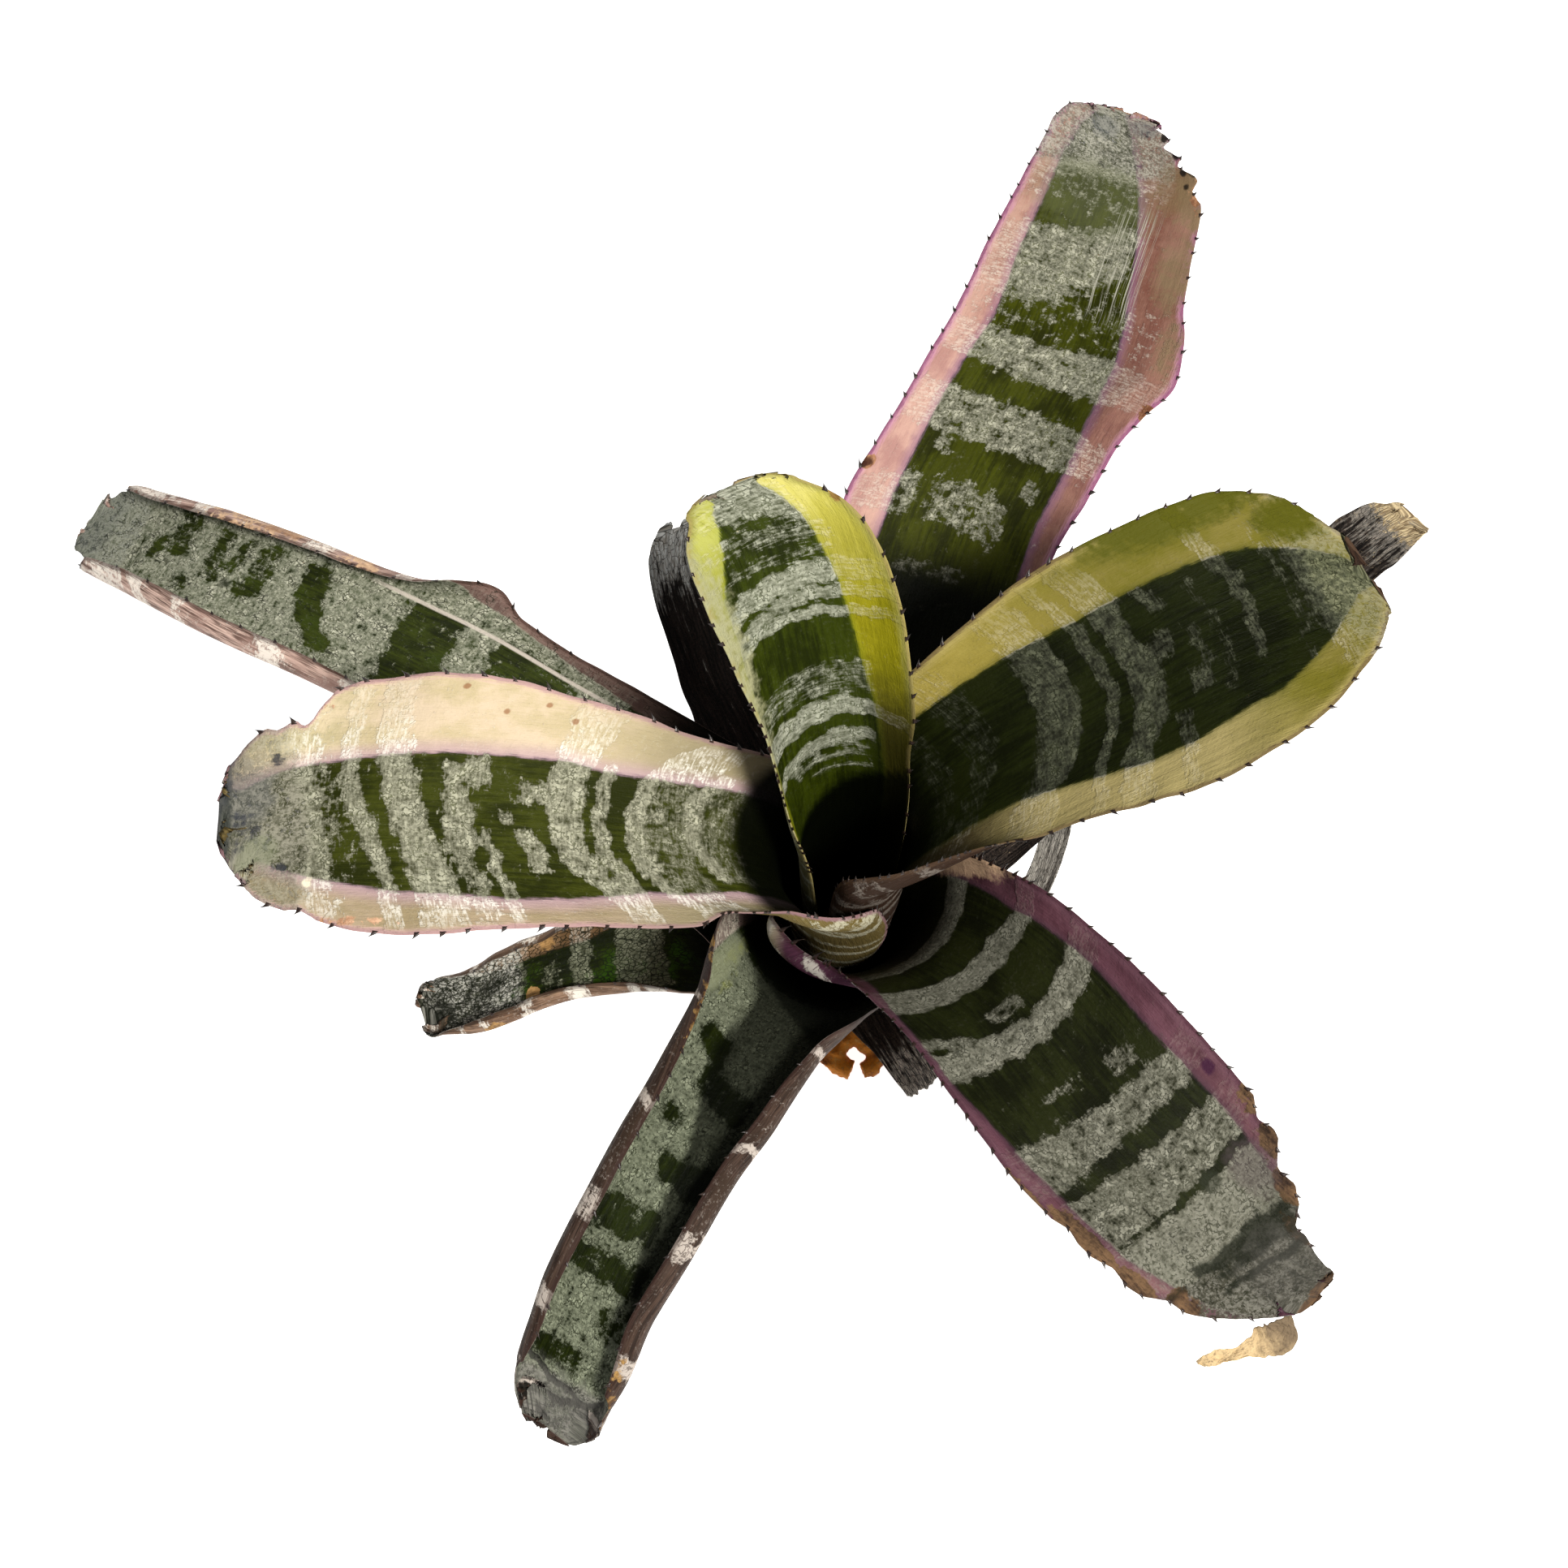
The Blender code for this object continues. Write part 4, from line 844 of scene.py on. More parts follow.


# ------------------------------------------------------------------ markings of each leaf
# s runs along the midrib and v across the blade, positive on the anticlockwise side.
# Mesh: step, flat_n and strip_n space it out; rough, frill, rib and crease say how far the face swells, the
# margin frills, the ribs stand up and the creases sink; notches bite into the margin (s, side, depth, half
# width); torn is how ragged the end is, with tears (v, depth, half width).
# spines: the radius they start at, their spacing and height; comb makes them taller near the middle of the
# plant; fringe adds closer rows (side, start, end, spacing, height).
# Marks: green (s, half width of the green centre anticlockwise, clockwise); bands and creases (strength, how
# far they fade or how far tipward and baseward, points (v, s, half width)), where a negative strength takes
# silver away; pitch and half, the spacing and half width of the outer face's bands; shade, painted shade: how
# dark the depth of the cup and the blade's shadowed parts are painted; flush, dead and stain, patches (s, v,
# half length, half width, strength).
# Colours: the third tone makes blots or the rim; the margin takes margin_tip from tip_from to tip_to, and
# sides tint its two halves; foot (start, end, tint, side) lies towards the sheath; tints are patches (s, v,
# half length, half width, colour, strength); scratch and keel are places (v, v or half width, start, end);
# crack and craze say how dark and wide the crackle is; cover, margin_silver, tip_cover and dust say how much
# silver shows, and weave, ragged and calm how uneven it is.
LOOK_DEFAULTS = dict(step=1, flat_n=12, strip_n=9, rough=0.55, frill=0.35, rib=0.1, crease=0.5, comb=0.2,
    pitch=9, half=1.9, fringe=[], notches=[], creases=[], dead=[], stain=[], flush=[])
COLOUR_DEFAULTS = dict(tip_from=150, tip_to=240, foot=[], line=0.3, line_wide=2.2, edge_power=0.7, rim_wide=4,
    smudge="4c4f52", pale="d6d0bf", cover=0.88, margin_silver=0.6, tip_cover=0.95, dust=0.3, weave=0.2,
    ragged=1, calm=(60, 110), back_silver=0.85, dead=("6b4a2a", "b48a58"), flush="7d4a6e", stain="1d1f18",
    stain_span=(0.3, 0.66), craze_mask=-0.02, tints=[])
FRECKLE = (0.9, 0.8, "8a6040", 0.8)
LOOK = {}
LOOK["leaf_upright_inner"] = dict(
    seed=1, spines=(15, 7, 1.7), step=0.9, pitch=8, half=1.6, rough=0.4, torn=1.6,
    fringe=[(1, 92, 150, 4.2, 1.5)],
    green=[(0, 17, 12), (110, 19, 15), (133, 21, 14), (146, 22, 12), (162, 22, 11), (178, 21, 10),
        (191, 15, 8), (200, 10, 6), (207, 4, 3)],
    bands=[(0.95, (8, 5), [(22, 208, 5), (8, 204, 6), (0, 202, 5), (-8, 197, 5)]),
        (0.55, 1.6, [(20, 190, 1.6), (2, 188, 1.8), (-12, 187, 1.6)]),
        (0.5, 1, [(20, 182, 0.9), (0, 181.5, 1), (-12, 182, 0.8)]),
        (1, 1.2, [(19, 172.5, 1.4), (17, 174, 1.8), (7, 174.7, 2.4), (-1, 175.5, 2.4), (-11, 176.3, 2.4),
            (-20, 176, 1.5)]),
        (0.9, 0.9, [(20, 166.5, 1), (9, 169, 1.1), (-2, 170, 1.3), (-11, 170, 1.2), (-20, 170, 0.8)]),
        (0.95, 0.8, [(20, 163.6, 0.8), (10, 165.2, 1), (-1, 165.2, 1), (-10, 164.4, 1), (-24, 164, 0.8)]),
        (0.5, 2.6, [(19, 143, 2.4), (8, 145, 3.6), (-2, 144.8, 4), (-13, 145, 3.8)]),
        (1, 1, [(22, 133.6, 2.6), (13, 134, 3), (3, 134.8, 3), (-6, 135.6, 2.4), (-14, 134, 1.4),
            (-20, 133, 1)]),
        (0.9, 1, [(20, 121, 1.4), (14, 122.5, 1.8), (6, 123, 2.2), (-4, 125, 2.4), (-12, 125.3, 1.4)]),
        (0.75, 0.8, [(12, 117, 0.7), (3, 117.3, 0.8), (-3, 118, 0.9), (-10, 119.7, 0.9)]),
        (0.6, 0.8, [(6, 112, 0.6), (-1, 112.5, 0.8), (-11, 113.3, 0.9)])],
    # Painted shade: black in the cup's depth below a slanting painted shadow line, the anticlockwise rim left
    # lit, and a painted shadow over the clockwise margin towards the cup.
    shade=lambda s, v, rim: np.maximum(
        smooth(107 - 0.75 * v, 100 - 0.75 * v, s) * (1 - 0.85 * smooth(9, 4, rim) * (v > 0)),
        0.75 * smooth(158, 122, s) * smooth(-8, -15, v)),
    flush=[(160, 27, 60, 10, 0.62)], dead=[(206.5, -3, 1.2, 4, 0.6), (196, -19, 3, 2, 0.6)],
    # Its one stain is painted shade, not a mark of the leaf.
    stain=[(128, 22, 3, 2, 0.6)], tears=[(3, 2, 2.5), (12, 1.5, 2)],
    # The margins' saturated yellow, deepest on the clockwise side, is partly the leaf's own colour and partly
    # painted light shining through the leaf; the dark foot on the clockwise margin near the cup is painted
    # shade.
    colours=dict(green=("171d02", "2d3605", "242c03"), margin=("7a7618", "8c8724", "837f43"),
        margin_tip=("bfb977", "d0caa1"), tip_from=165, tip_to=205, sides=("e8e6a4", "ccd490"),
        foot=[(154, 128, "4c4812", -1)], boundary="76821f", line=0.2, edge="8f8050", edge_power=0.65,
        silver=("4b4e3d", "babcab"), tip_silver=("505839", "7f8668"), cover=0.84, margin_silver=0.22,
        tip_cover=0.5, dust=0.12, weave=1.2, ragged=0.75, calm=(140, 230),
        back=("5d5348", "7e7264", "6f6370"), back_rim="8d8a5c", back_white="babcab",
        dead=("6d5228", "a88a4e"), flush="949371"))
LOOK["leaf_right"] = dict(
    seed=2, spines=(30, 7.6, 1.8), rough=0.4, torn=1.5,
    fringe=[(-1, 96, 150, 2.9, 1.2), (1, 60, 150, 7, 1.6)],
    green=[(0, 18, 16), (110, 19, 17), (133, 20, 17), (148, 20, 18), (164, 20, 22), (181, 19, 26),
        (195, 19, 27), (209, 18.5, 25), (219, 17.5, 24), (228, 16, 20), (236, 13, 16), (243, 10, 11),
        (250, 7, 5), (258, 3, 1)],
    bands=[(0.9, (0.6, 8), [(33, 171.5, 1.5), (20, 169.5, 2.5), (8, 168, 3), (-1, 166.5, 3.5),
            (-8, 164, 3.5), (-16, 160, 3), (-20, 155, 3)]),
        (0.44, 4, [(20, 142, 4), (0, 141, 4), (-12, 132, 4), (-20, 128, 3)]),
        (0.42, 3, [(20, 126, 3), (-4, 124, 3), (-20, 118, 3)]),
        (-0.35, 1.2, [(20, 158, 1.2), (0, 155, 1.6), (-10, 147.5, 1.6), (-20, 141, 1.4)]),
        (-0.3, 1.4, [(20, 151, 1), (0, 149, 1.4), (-10, 142, 1.4), (-20, 136, 1.4)]),
        (0.85, 1, [(30, 178, 1), (18, 179.8, 1.3), (9, 179, 1.3), (-1, 179, 1.1), (-9, 177, 1.2),
            (-16, 173, 1.1), (-21, 170, 1)]),
        (0.95, 1.4, [(30, 188, 3), (20, 188.5, 3.4), (8, 187.5, 2.2), (-1, 188.5, 3.5), (-10, 187.5, 3.6),
            (-18, 184, 3.8), (-23, 180, 3)]), (0.75, 1.3, [(4, 196, 2.4), (-1, 196, 2.4)]),
        (0.75, 1.2, [(17, 198, 1.4), (11, 201, 1.6)]), (0.75, 1.3, [(-9, 201, 2), (-14, 201, 2.2)]),
        (0.65, 1.2, [(-18, 194, 1.6), (-22, 194, 1.2)]),
        (0.75, 1.2, [(26, 218, 1.6), (16, 219, 2), (9, 220.8, 1.4), (-1, 219.8, 1), (-13, 217.8, 0.7)]),
        (0.6, 1, [(3, 204, 1), (-8, 205, 1)]), (0.42, 1.2, [(16, 209, 1.2), (0, 211, 0.8), (-18, 208, 0.8)]),
        (1.25, (12, 7), [(20, 254, 11), (5, 251, 9), (-10, 250, 8), (-20, 252, 6)]),
        (0.45, 1.2, [(20, 232, 1.2), (0, 233, 1.4), (-18, 230, 1)])],
    shade=lambda s, v, rim: smooth(136, 100, s),
    # The dark olive flush on the far upper margin is partly its own colour, partly painted shade.
    flush=[(222, 33, 34, 9, 0.8), (243, 20, 12, 8, 0.8)], tears=[(2, 3, 2.5)],
    # Greens, silver and the tipward margin are darker than on the other leaves: partly the leaf's own colour,
    # partly painted shade over a blade lying in shadow.
    colours=dict(green=("0a0d02", "171c05", "121503"), margin=("918342", "837635", "958853"),
        margin_tip=("5e591c", "6a622c"), tip_from=140, tip_to=200,
        foot=[(228, 196, "8e8256", -1), (160, 128, "3c3420", -1)], boundary="33380f", edge="4c3a2c",
        silver=("1b1c16", "595c4b"), tip_silver=("585b43", "7f8065"), smudge="4d4f40", cover=0.84,
        margin_silver=0.2, tip_cover=0.55, dust=0.1, weave=0.7, ragged=0.6, calm=(135, 185),
        back=("1d1410", "38281f", "2b1f18"), back_rim="35261d", back_white="b4aca2", back_silver=0.28,
        flush="4a4a12"))
LOOK["leaf_left"] = dict(
    seed=3, spines=(20, 8, 2), pitch=10, half=2.6, rough=0.45, torn=2.4, fringe=[(1, 92, 136, 4.4, 1.3)],
    green=[(0, 18, 15), (118, 18, 14), (137, 22, 13), (146, 22, 13), (156, 24, 13), (167, 26, 15),
        (183, 27, 15), (198, 26, 15), (210, 25.5, 14), (222, 23.5, 13), (232, 21, 12), (243, 17, 10),
        (252, 12, 6), (260, 6, 4)],
    bands=[(1.6, (30, 13), [(-20, 256, 8), (-6, 252, 9), (12, 248, 9), (20, 250, 9)]),
        (0.95, 1.2, [(-20, 224, 1.2), (-12, 223.5, 1.5), (-2, 221.5, 1.6), (6, 218, 2), (14, 215.5, 1.7),
            (21, 213, 1.3)]),
        (1, 1.7, [(-27, 214, 2.8), (-12, 211.5, 3.4), (-6, 210, 3.8), (2, 207.5, 3.7), (11, 204.5, 3.6),
            (20, 202, 4.6), (27, 200, 4.5)]),
        (0.9, 1.6, [(-11, 195.4, 2.6), (0, 194.4, 2.8), (7, 193.4, 3.4), (13, 193.6, 3)]),
        (0.7, 1.6, [(14, 194, 1.8), (23, 190, 2)]), (0.95, 1, [(-13, 190, 2), (-6, 188, 1.8)]),
        (0.85, 2, [(-7, 173, 4.5), (-2, 173, 4.5)]), (0.7, 1, [(1, 182, 1.4), (5, 181, 1.4)]),
        (0.95, 1, [(7, 176.5, 2), (12, 174.5, 2.4), (17, 172.5, 1.6)]),
        (0.9, 0.9, [(8, 187, 1), (16, 185, 1.2), (26, 182.5, 1)]),
        (1, 1.7, [(-28, 161.8, 5.5), (-17, 163.7, 4.2), (-10, 165.7, 4), (0, 165.7, 4), (8, 164.7, 3.2),
            (15, 161.7, 3.9), (20, 155.7, 3.9), (28, 150.5, 3)]),
        (0.9, 1.1, [(-13, 155, 1.4), (-1, 155.7, 1.2), (8, 155.2, 1.5), (14, 152.7, 2), (19, 150, 2.2)]),
        (0.95, (0.7, 1.8), [(-30, 126, 1.6), (-25, 130.5, 1.6), (-18, 138.4, 1.7), (-9, 144, 2),
            (0, 145.8, 2.2), (9, 145.8, 2.2), (16, 143.8, 2), (22, 139, 1.8), (27, 134, 1.6)]),
        (0.56, 2.5, [(-28, 122, 5), (-18, 130, 5), (-9, 136, 5.5), (0, 137, 6), (9, 136, 6), (16, 133, 6),
            (24, 127, 5)]),
        (0.9, (0.7, 4), [(-16, 122, 1), (-13, 125, 1.2), (-10, 128.6, 1.5), (-5, 129.6, 1.6),
            (1, 129.6, 1.6), (9, 125.6, 1.6), (14, 120.6, 1.5)]),
        (0.5, 3, [(-14, 116, 4), (0, 121, 5), (14, 114, 4)])],
    shade=lambda s, v, rim: (smooth(120, 112, s + 0.006 * v * v) * (1 - 0.5 * smooth(5, 1, rim))
                             * (1 - 0.8 * smooth(22, 28, v))),
    flush=[(233, 22, 1.7, 1.5, 1)], dead=[(224, 33, 16, 2.2, 0.42), (232, -28, 4, 2, 0.4)],
    stain=[(243, -13, 2.6, 2.6, 0.6), (240, 17, 2, 2, 0.6), (252, 6, 8, 9, 0.42), (255, -8, 7, 10, 0.36),
        (246, 2, 5, 5, 0.3)],
    notches=[(235, -1, 3.4, 4), (244, -1, 1.4, 3), (236, 1, 1.6, 4)], tears=[(-14, 2, 3), (12, 6, 9)],
    colours=dict(green=("202407", "393e10", "2d320c"), margin=("c3b198", "b3a482", "c4a49a"),
        margin_tip=("c8b898", "a89e7a"), tip_from=215, sides=("ffffff", "d0ccc8"),
        foot=[(172, 128, "857b60"), (122, 108, "544c30", 1)], boundary="a88a98", line=0.6, line_wide=5,
        edge="866470", edge_power=0.55, rim_wide=2.2, silver=("494939", "bdbca6"),
        tip_silver=("656455", "949182"), smudge="4c4c56", pale="e6e3da", margin_silver=0.7, tip_cover=0.6,
        dust=0.2, weave=0.55, calm=(128, 160), back=("453b22", "6c5d38", "584a2c"), back_rim="645731",
        back_white="aca892", dead=("a67c5f", "cfa88a"), flush="e6ddc2", stain="33353a",
        tints=[(176, -30, *FRECKLE), (186, -27, *FRECKLE),
            (198, -33, *FRECKLE), (168, -26, 1, 0.9, "8a6040", 0.8),
            (252, -4, 9, 9, "5a5c62", 0.36), (258, 4, 3, 13, "2c3130", 0.75), (247, 12, 6, 5, "7d8268", 0.5),
            (259, -8, 3, 9, "4a4c50", 0.6), (102, 35, 16, 6, "7c755a", 0.62)]))
LOOK["leaf_lower_right"] = dict(
    seed=4, spines=(32, 5.6, 1.8), comb=0.3, rough=0.6, torn=3,
    fringe=[(1, 60, 110, 4.4, 3.4), (-1, 48, 88, 3.4, 3)],
    green=[(0, 24, 18), (54, 26, 20), (82, 23, 24), (103, 21, 30), (116, 22, 31), (131, 24, 31),
        (148, 24, 28.5), (164, 24, 27), (177, 23.5, 27), (190, 22, 26), (205, 19, 21), (225, 14, 14),
        (237, 6, 6)],
    bands=[(0.9, 1.6, [(22, 77, 4.2), (5, 77, 4.6), (-5, 76, 4.6), (-20, 71, 4)]),
        (0.95, 1.5, [(20, 106, 2), (9, 102, 4), (0, 101, 3.4), (-11, 98.8, 3.8), (-24, 95.5, 5.5)]),
        (1, 1.6, [(24, 126, 3.6), (11, 127.6, 3.2), (0, 128, 3), (-15, 125.4, 3.8), (-31, 124.4, 3.8)]),
        (0.62, 1.6, [(-9, 116.6, 1.5), (0, 118, 1.9)]), (0.7, 1.6, [(-26, 116, 1.2), (-18, 120, 1.5)]),
        (0.62, 1.8, [(9, 150, 2.2), (16, 152.5, 1.8)]), (0.42, 1.4, [(-13, 145.5, 0.8), (-1, 147, 0.8)]),
        (0.82, 2, [(24, 164, 3.6), (10, 162, 3.8), (-6, 160.5, 4.2), (-24, 160, 6)]),
        (0.8, (1.2, 1.8), [(24, 182, 4.6), (0, 180, 6.5), (-25, 179, 7)]),
        (1.15, (3, 1.6), [(20, 200, 8), (0, 199, 8), (-20, 197, 8)]),
        (1.5, (20, 6), [(20, 224, 14), (-20, 222, 14)])],
    shade=lambda s, v, rim: smooth(76, 50, s) * (1 - 0.97 * smooth(15, 21, v)),
    flush=[(76, 31, 26, 7, 0.95)],
    dead=[(163, -34, 9, 2.4, 0.6), (181, -31, 13, 3.4, 1), (198, -29, 8, 3.4, 1), (209, -22, 6, 3.4, 0.8),
        (186, 30, 6, 4, 0.8), (196, 26, 6, 4, 0.9), (206, 20, 6, 3.4, 0.9), (219, 14, 9, 3, 0.9),
        (236, 1, 4, 9, 0.8)],
    stain=[(226, 6, 8, 9, 0.4), (221, -4, 6, 8, 0.3), (209, 12, 7, 8, 0.45), (196, -10, 4, 5, 0.3)],
    creases=[(0.9, 1.6, [(-14, 205, 0.3), (-3.4, 207.4, 1.2), (5, 207.7, 2), (15, 210.4, 2.2)]),
        (0.8, 1.4, [(-10, 210.4, 0.3), (-1.6, 211.3, 0.7), (8, 212.2, 1.2), (15, 216, 1.4)]),
        (0.85, 1, [(-12, 214, 0.2), (-1, 216, 0.4), (11, 219.6, 0.9), (14, 219, 1.2)]),
        (0.6, 0.9, [(-19, 205.8, 0.4), (-18, 199, 0.3)])],
    notches=[(189, 1, 2.6, 4), (201, 1, 3, 5), (215, 1, 2, 4), (176, -1, 1.6, 4), (190, -1, 2.2, 5),
        (205, -1, 2.4, 5)],
    tears=[(-5, 3, 3)],
    # Greens, silver and margins are darker than on the lit leaves: partly the leaf's own colour, partly
    # painted shade over a leaf lying in shadow.
    colours=dict(green=("0f1106", "1e220c", "191c08"), margin=("432830", "5a3a44", "5c3f49"),
        margin_tip=("614048", "775654"), boundary="3c2b36", line=0.4, edge="3a2029", edge_power=0.6,
        silver=("39392f", "979688"), tip_silver=("3d3c33", "6d6b63"), smudge="2c2c24", pale="8c807a",
        cover=0.84, margin_silver=0.2, dust=0.14, ragged=0.9, calm=(96, 140),
        back=("34202a", "513442", "442a39"), back_rim="48283a", back_white="b9b4ac",
        back_foot=(69, 61, "c9c1a0"), dead=("30251f", "6a523c"), flush="b5977c", stain="171a12",
        stain_span=(0.08, 0.85),
        tints=[(171, 28, 2.1, 1.9, "30122a", 0.85), (196, 17, 8, 6, "4a4042", 0.42),
            (222, 4, 13, 13, "454340", 0.4), (190, 6, 3.4, 3, "23261c", 0.7)]))
LOOK["leaf_upper_right"] = dict(
    seed=5, spines=(55, 8.6, 1.9), step=1.1, torn=3.4,
    green=[(0, 22, 22), (100, 23, 24), (145, 23, 24), (163, 23, 23), (184, 23.5, 23), (208, 23.5, 21),
        (229, 23, 18.5), (241, 23, 17), (265, 22, 14), (286, 21, 9.5), (300, 20, 6), (318, 14, 4),
        (335, 4, 0)],
    bands=[(1.6, (40, 14), [(26, 318, 18), (8, 322, 17), (-18, 322, 16)]),
        (0.42, 7, [(20, 288, 6), (-10, 287, 6)]),
        (0.85, (4, 5), [(30, 249, 9), (24, 250.5, 12), (10, 252.5, 13), (-4, 261, 10), (-12, 266, 6)]),
        (0.36, 7, [(25, 234, 5), (-20, 236, 5)]),
        (0.84, 2.2, [(36, 218, 3.5), (24, 217.4, 4.6), (4, 215.6, 5), (-16, 216.7, 6.5), (-32, 218, 5)]),
        (0.76, 2.3, [(34, 195, 5), (22, 192.8, 6), (2, 191.5, 6.5), (-18, 190.8, 6.5), (-32, 190, 3)]),
        (0.6, 1.4, [(14, 181, 2), (18, 181, 2)]), (0.65, 1.4, [(-18, 173, 2.2), (-14, 174, 2.2)]),
        (0.62, 2.4, [(34, 162, 3.5), (22, 163, 6), (4, 163, 5.8), (-12, 160, 6.2)]),
        (-0.5, 1.4, [(13, 163, 7), (15, 163, 7)]), (0.55, 1.6, [(16, 140, 1.6), (-5, 141, 1.8)]),
        (0.4, 1.6, [(10, 130, 1.4), (-12, 131, 1.4)])],
    # Painted shade: black in the cup's depth, and a painted shadow along the clockwise half of the blade.
    shade=lambda s, v, rim: np.maximum(
        smooth(156, 134, s), 0.34 * smooth(-4, -20, v) * smooth(250, 215, s) * smooth(8, 12, rim)),
    flush=[(302, -27, 26, 9, 0.8), (264, -28, 20, 8, 0.7), (289, -20, 8, 5, 0.4), (236, -33, 14, 6, 0.55)],
    dead=[(171, 35, 2.6, 2.4, 1.1), (213, -36, 4, 3, 0.8), (297, -27, 8, 3, 0.7),
        (334, 0, 3, 18, 0.45)],
    stain=[(327, -16, 3, 2.6, 1.2), (316, -20, 3.2, 2.6, 1.2), (307, -24, 3, 2.4, 1.2),
        (170, 36, 1.4, 1.6, 0.9), (322, -4, 6, 8, 0.35), (300, 8, 5, 8, 0.3)],
    notches=[(329, -1, 3.4, 4), (318, -1, 3.8, 4.5), (309, -1, 3.6, 4), (298, -1, 2.4, 4), (334, 1, 1.6, 4)],
    tears=[(5, 2.5, 3), (-10, 2, 3)],
    colours=dict(green=("1f2204", "3a3f07", "2e3106"), margin=("c3a296", "ab8680", "b5829c"),
        # sides darken the clockwise margin: partly its browner colour, partly painted shade.
        margin_tip=("b8988a", "9c7568"), tip_from=190, tip_to=260, sides=("b09c96", "f0e8e6"),
        boundary="7c5a7e", line=0.45, line_wide=3.6, edge="74405f", edge_power=0.75, rim_wide=3,
        silver=("48493c", "bebdaa"), tip_silver=("67675c", "a7a599"), smudge="3e414c", pale="c9bfb2",
        cover=0.86, tip_cover=0.8, dust=0.14, weave=0.15, back=("5d4a44", "85706a", "745a66"),
        back_rim="8f6f78", back_white="bebdaa", dead=("5e3a28", "a47a5c"), flush="74604a", stain="15110f",
        scratch=(-17, -5, 232, 290),
        tints=[(298, -19, 12, 6, "6c5a40", 0.6), (277, -24, 10, 5, "8a6a5c", 0.4),
            (284, 6, 18, 22, "666b4c", 0.32), (320, 6, 6, 5, "50545a", 0.4), (325, -8, 5, 5, "4c5058", 0.4),
            (323, -15, 2.6, 1.3, "15110f", 0.95), (314, -19, 2.6, 1.2, "15110f", 0.95),
            (306, -21, 2.2, 1.1, "15110f", 0.95), (299, -22.6, 1.4, 1, "15110f", 0.9),
            (171, 35, 1.6, 1.8, "3a1f16", 0.9)]))
LOOK["leaf_lower"] = dict(
    seed=6, spines=(60, 11, 1.7), strip_n=16, flat_n=9, rough=0.6, pitch=27, half=3, crease=0.8, torn=6,
    green=[(0, 30, 30), (90, 30, 30), (216, 30, 30)],
    bands=[(0.9, 8, [(-30, 150, 90), (30, 150, 90)]), (-0.7, 2.6, [(-14, 92, 2), (-5, 94.4, 3)]),
        (-0.66, 3, [(-7, 104, 2), (0, 106, 2.5), (9, 109, 3)]),
        (-0.68, 2.6, [(-4, 131, 1), (2, 133, 2.2), (12, 133, 3.4), (26, 133, 3)]),
        (-0.7, 2.6, [(-15, 152, 2.6), (-7, 151, 3), (4, 150, 2.4)]),
        (-0.68, 2.4, [(-15, 166, 1.2), (-10, 165, 1.8), (8, 164.6, 2.6)]),
        (-0.7, 1.6, [(-13, 193, 2), (0, 192, 2)]), (-0.5, 1.5, [(-12, 118, 1.5), (-6, 119, 1.5)]),
        (-0.45, 2, [(2, 178, 2), (9, 177, 2)]), (1.3, 6, [(-20, 212, 10), (20, 208, 10)])],
    # Painted shade in the cup's depth, and a painted shadow over the anticlockwise half of the blade.
    shade=lambda s, v, rim: np.maximum(
        smooth(80, 62, s - 0.9 * v),
        0.88 * smooth(-1, 1.6, v - 0.19 * (s - 132) - 1.5 * np.sin(s * 0.11)) * smooth(196, 176, s)
        * smooth(3, 8, rim)),
    flush=[(60, -24, 12, 3, 0.62), (74, -19, 9, 2, 0.5)],
    dead=[(199, 21, 9, 3, 0.7), (186, 23, 6, 2, 0.5), (98, -31, 14, 3, 0.55), (76, -34, 8, 3, 0.5)],
    stain=[(206, 0, 6, 16, 0.34)],
    creases=[(1, 0.6, [(-14, 196, 0.3), (-5, 200, 0.6), (4, 201, 0.3)]),
        (1, 0.6, [(-8, 206, 0.4), (3, 203.5, 0.6), (12, 199, 0.3)]),
        (0.9, 0.6, [(-12, 207, 0.3), (-3, 211, 0.5)])],
    notches=[(199, -1, 2.5, 3), (196, 1, 3, 4), (206, 1, 2.5, 3)], tears=[(-6, 4, 3), (7, 5, 3.5)],
    colours=dict(green=("0d1203", "1e2506", "171f05"), margin=("5a4c47", "6a5954", "76675f"),
        margin_tip=("6b5a55", "7d6a64"), boundary="5c4a50", line=0, edge="33231f",
        silver=("3c4033", "a0a68e"), tip_silver=("343331", "8e8b84"), smudge="23241f", dust=0.22, weave=0.3,
        ragged=1.5, calm=(80, 250), back=("281e19", "44352d", "33271f"), back_rim="30221e",
        back_white="b5aba2", dead=("4e3824", "a5824e"), flush="74794a", stain="0c0d0a", crack=0.9,
        craze=0.08,
        tints=[(209, 0, 12, 40, "666460", 0.5), (70, -25, 17, 4.5, "7f8468", 0.6)]))
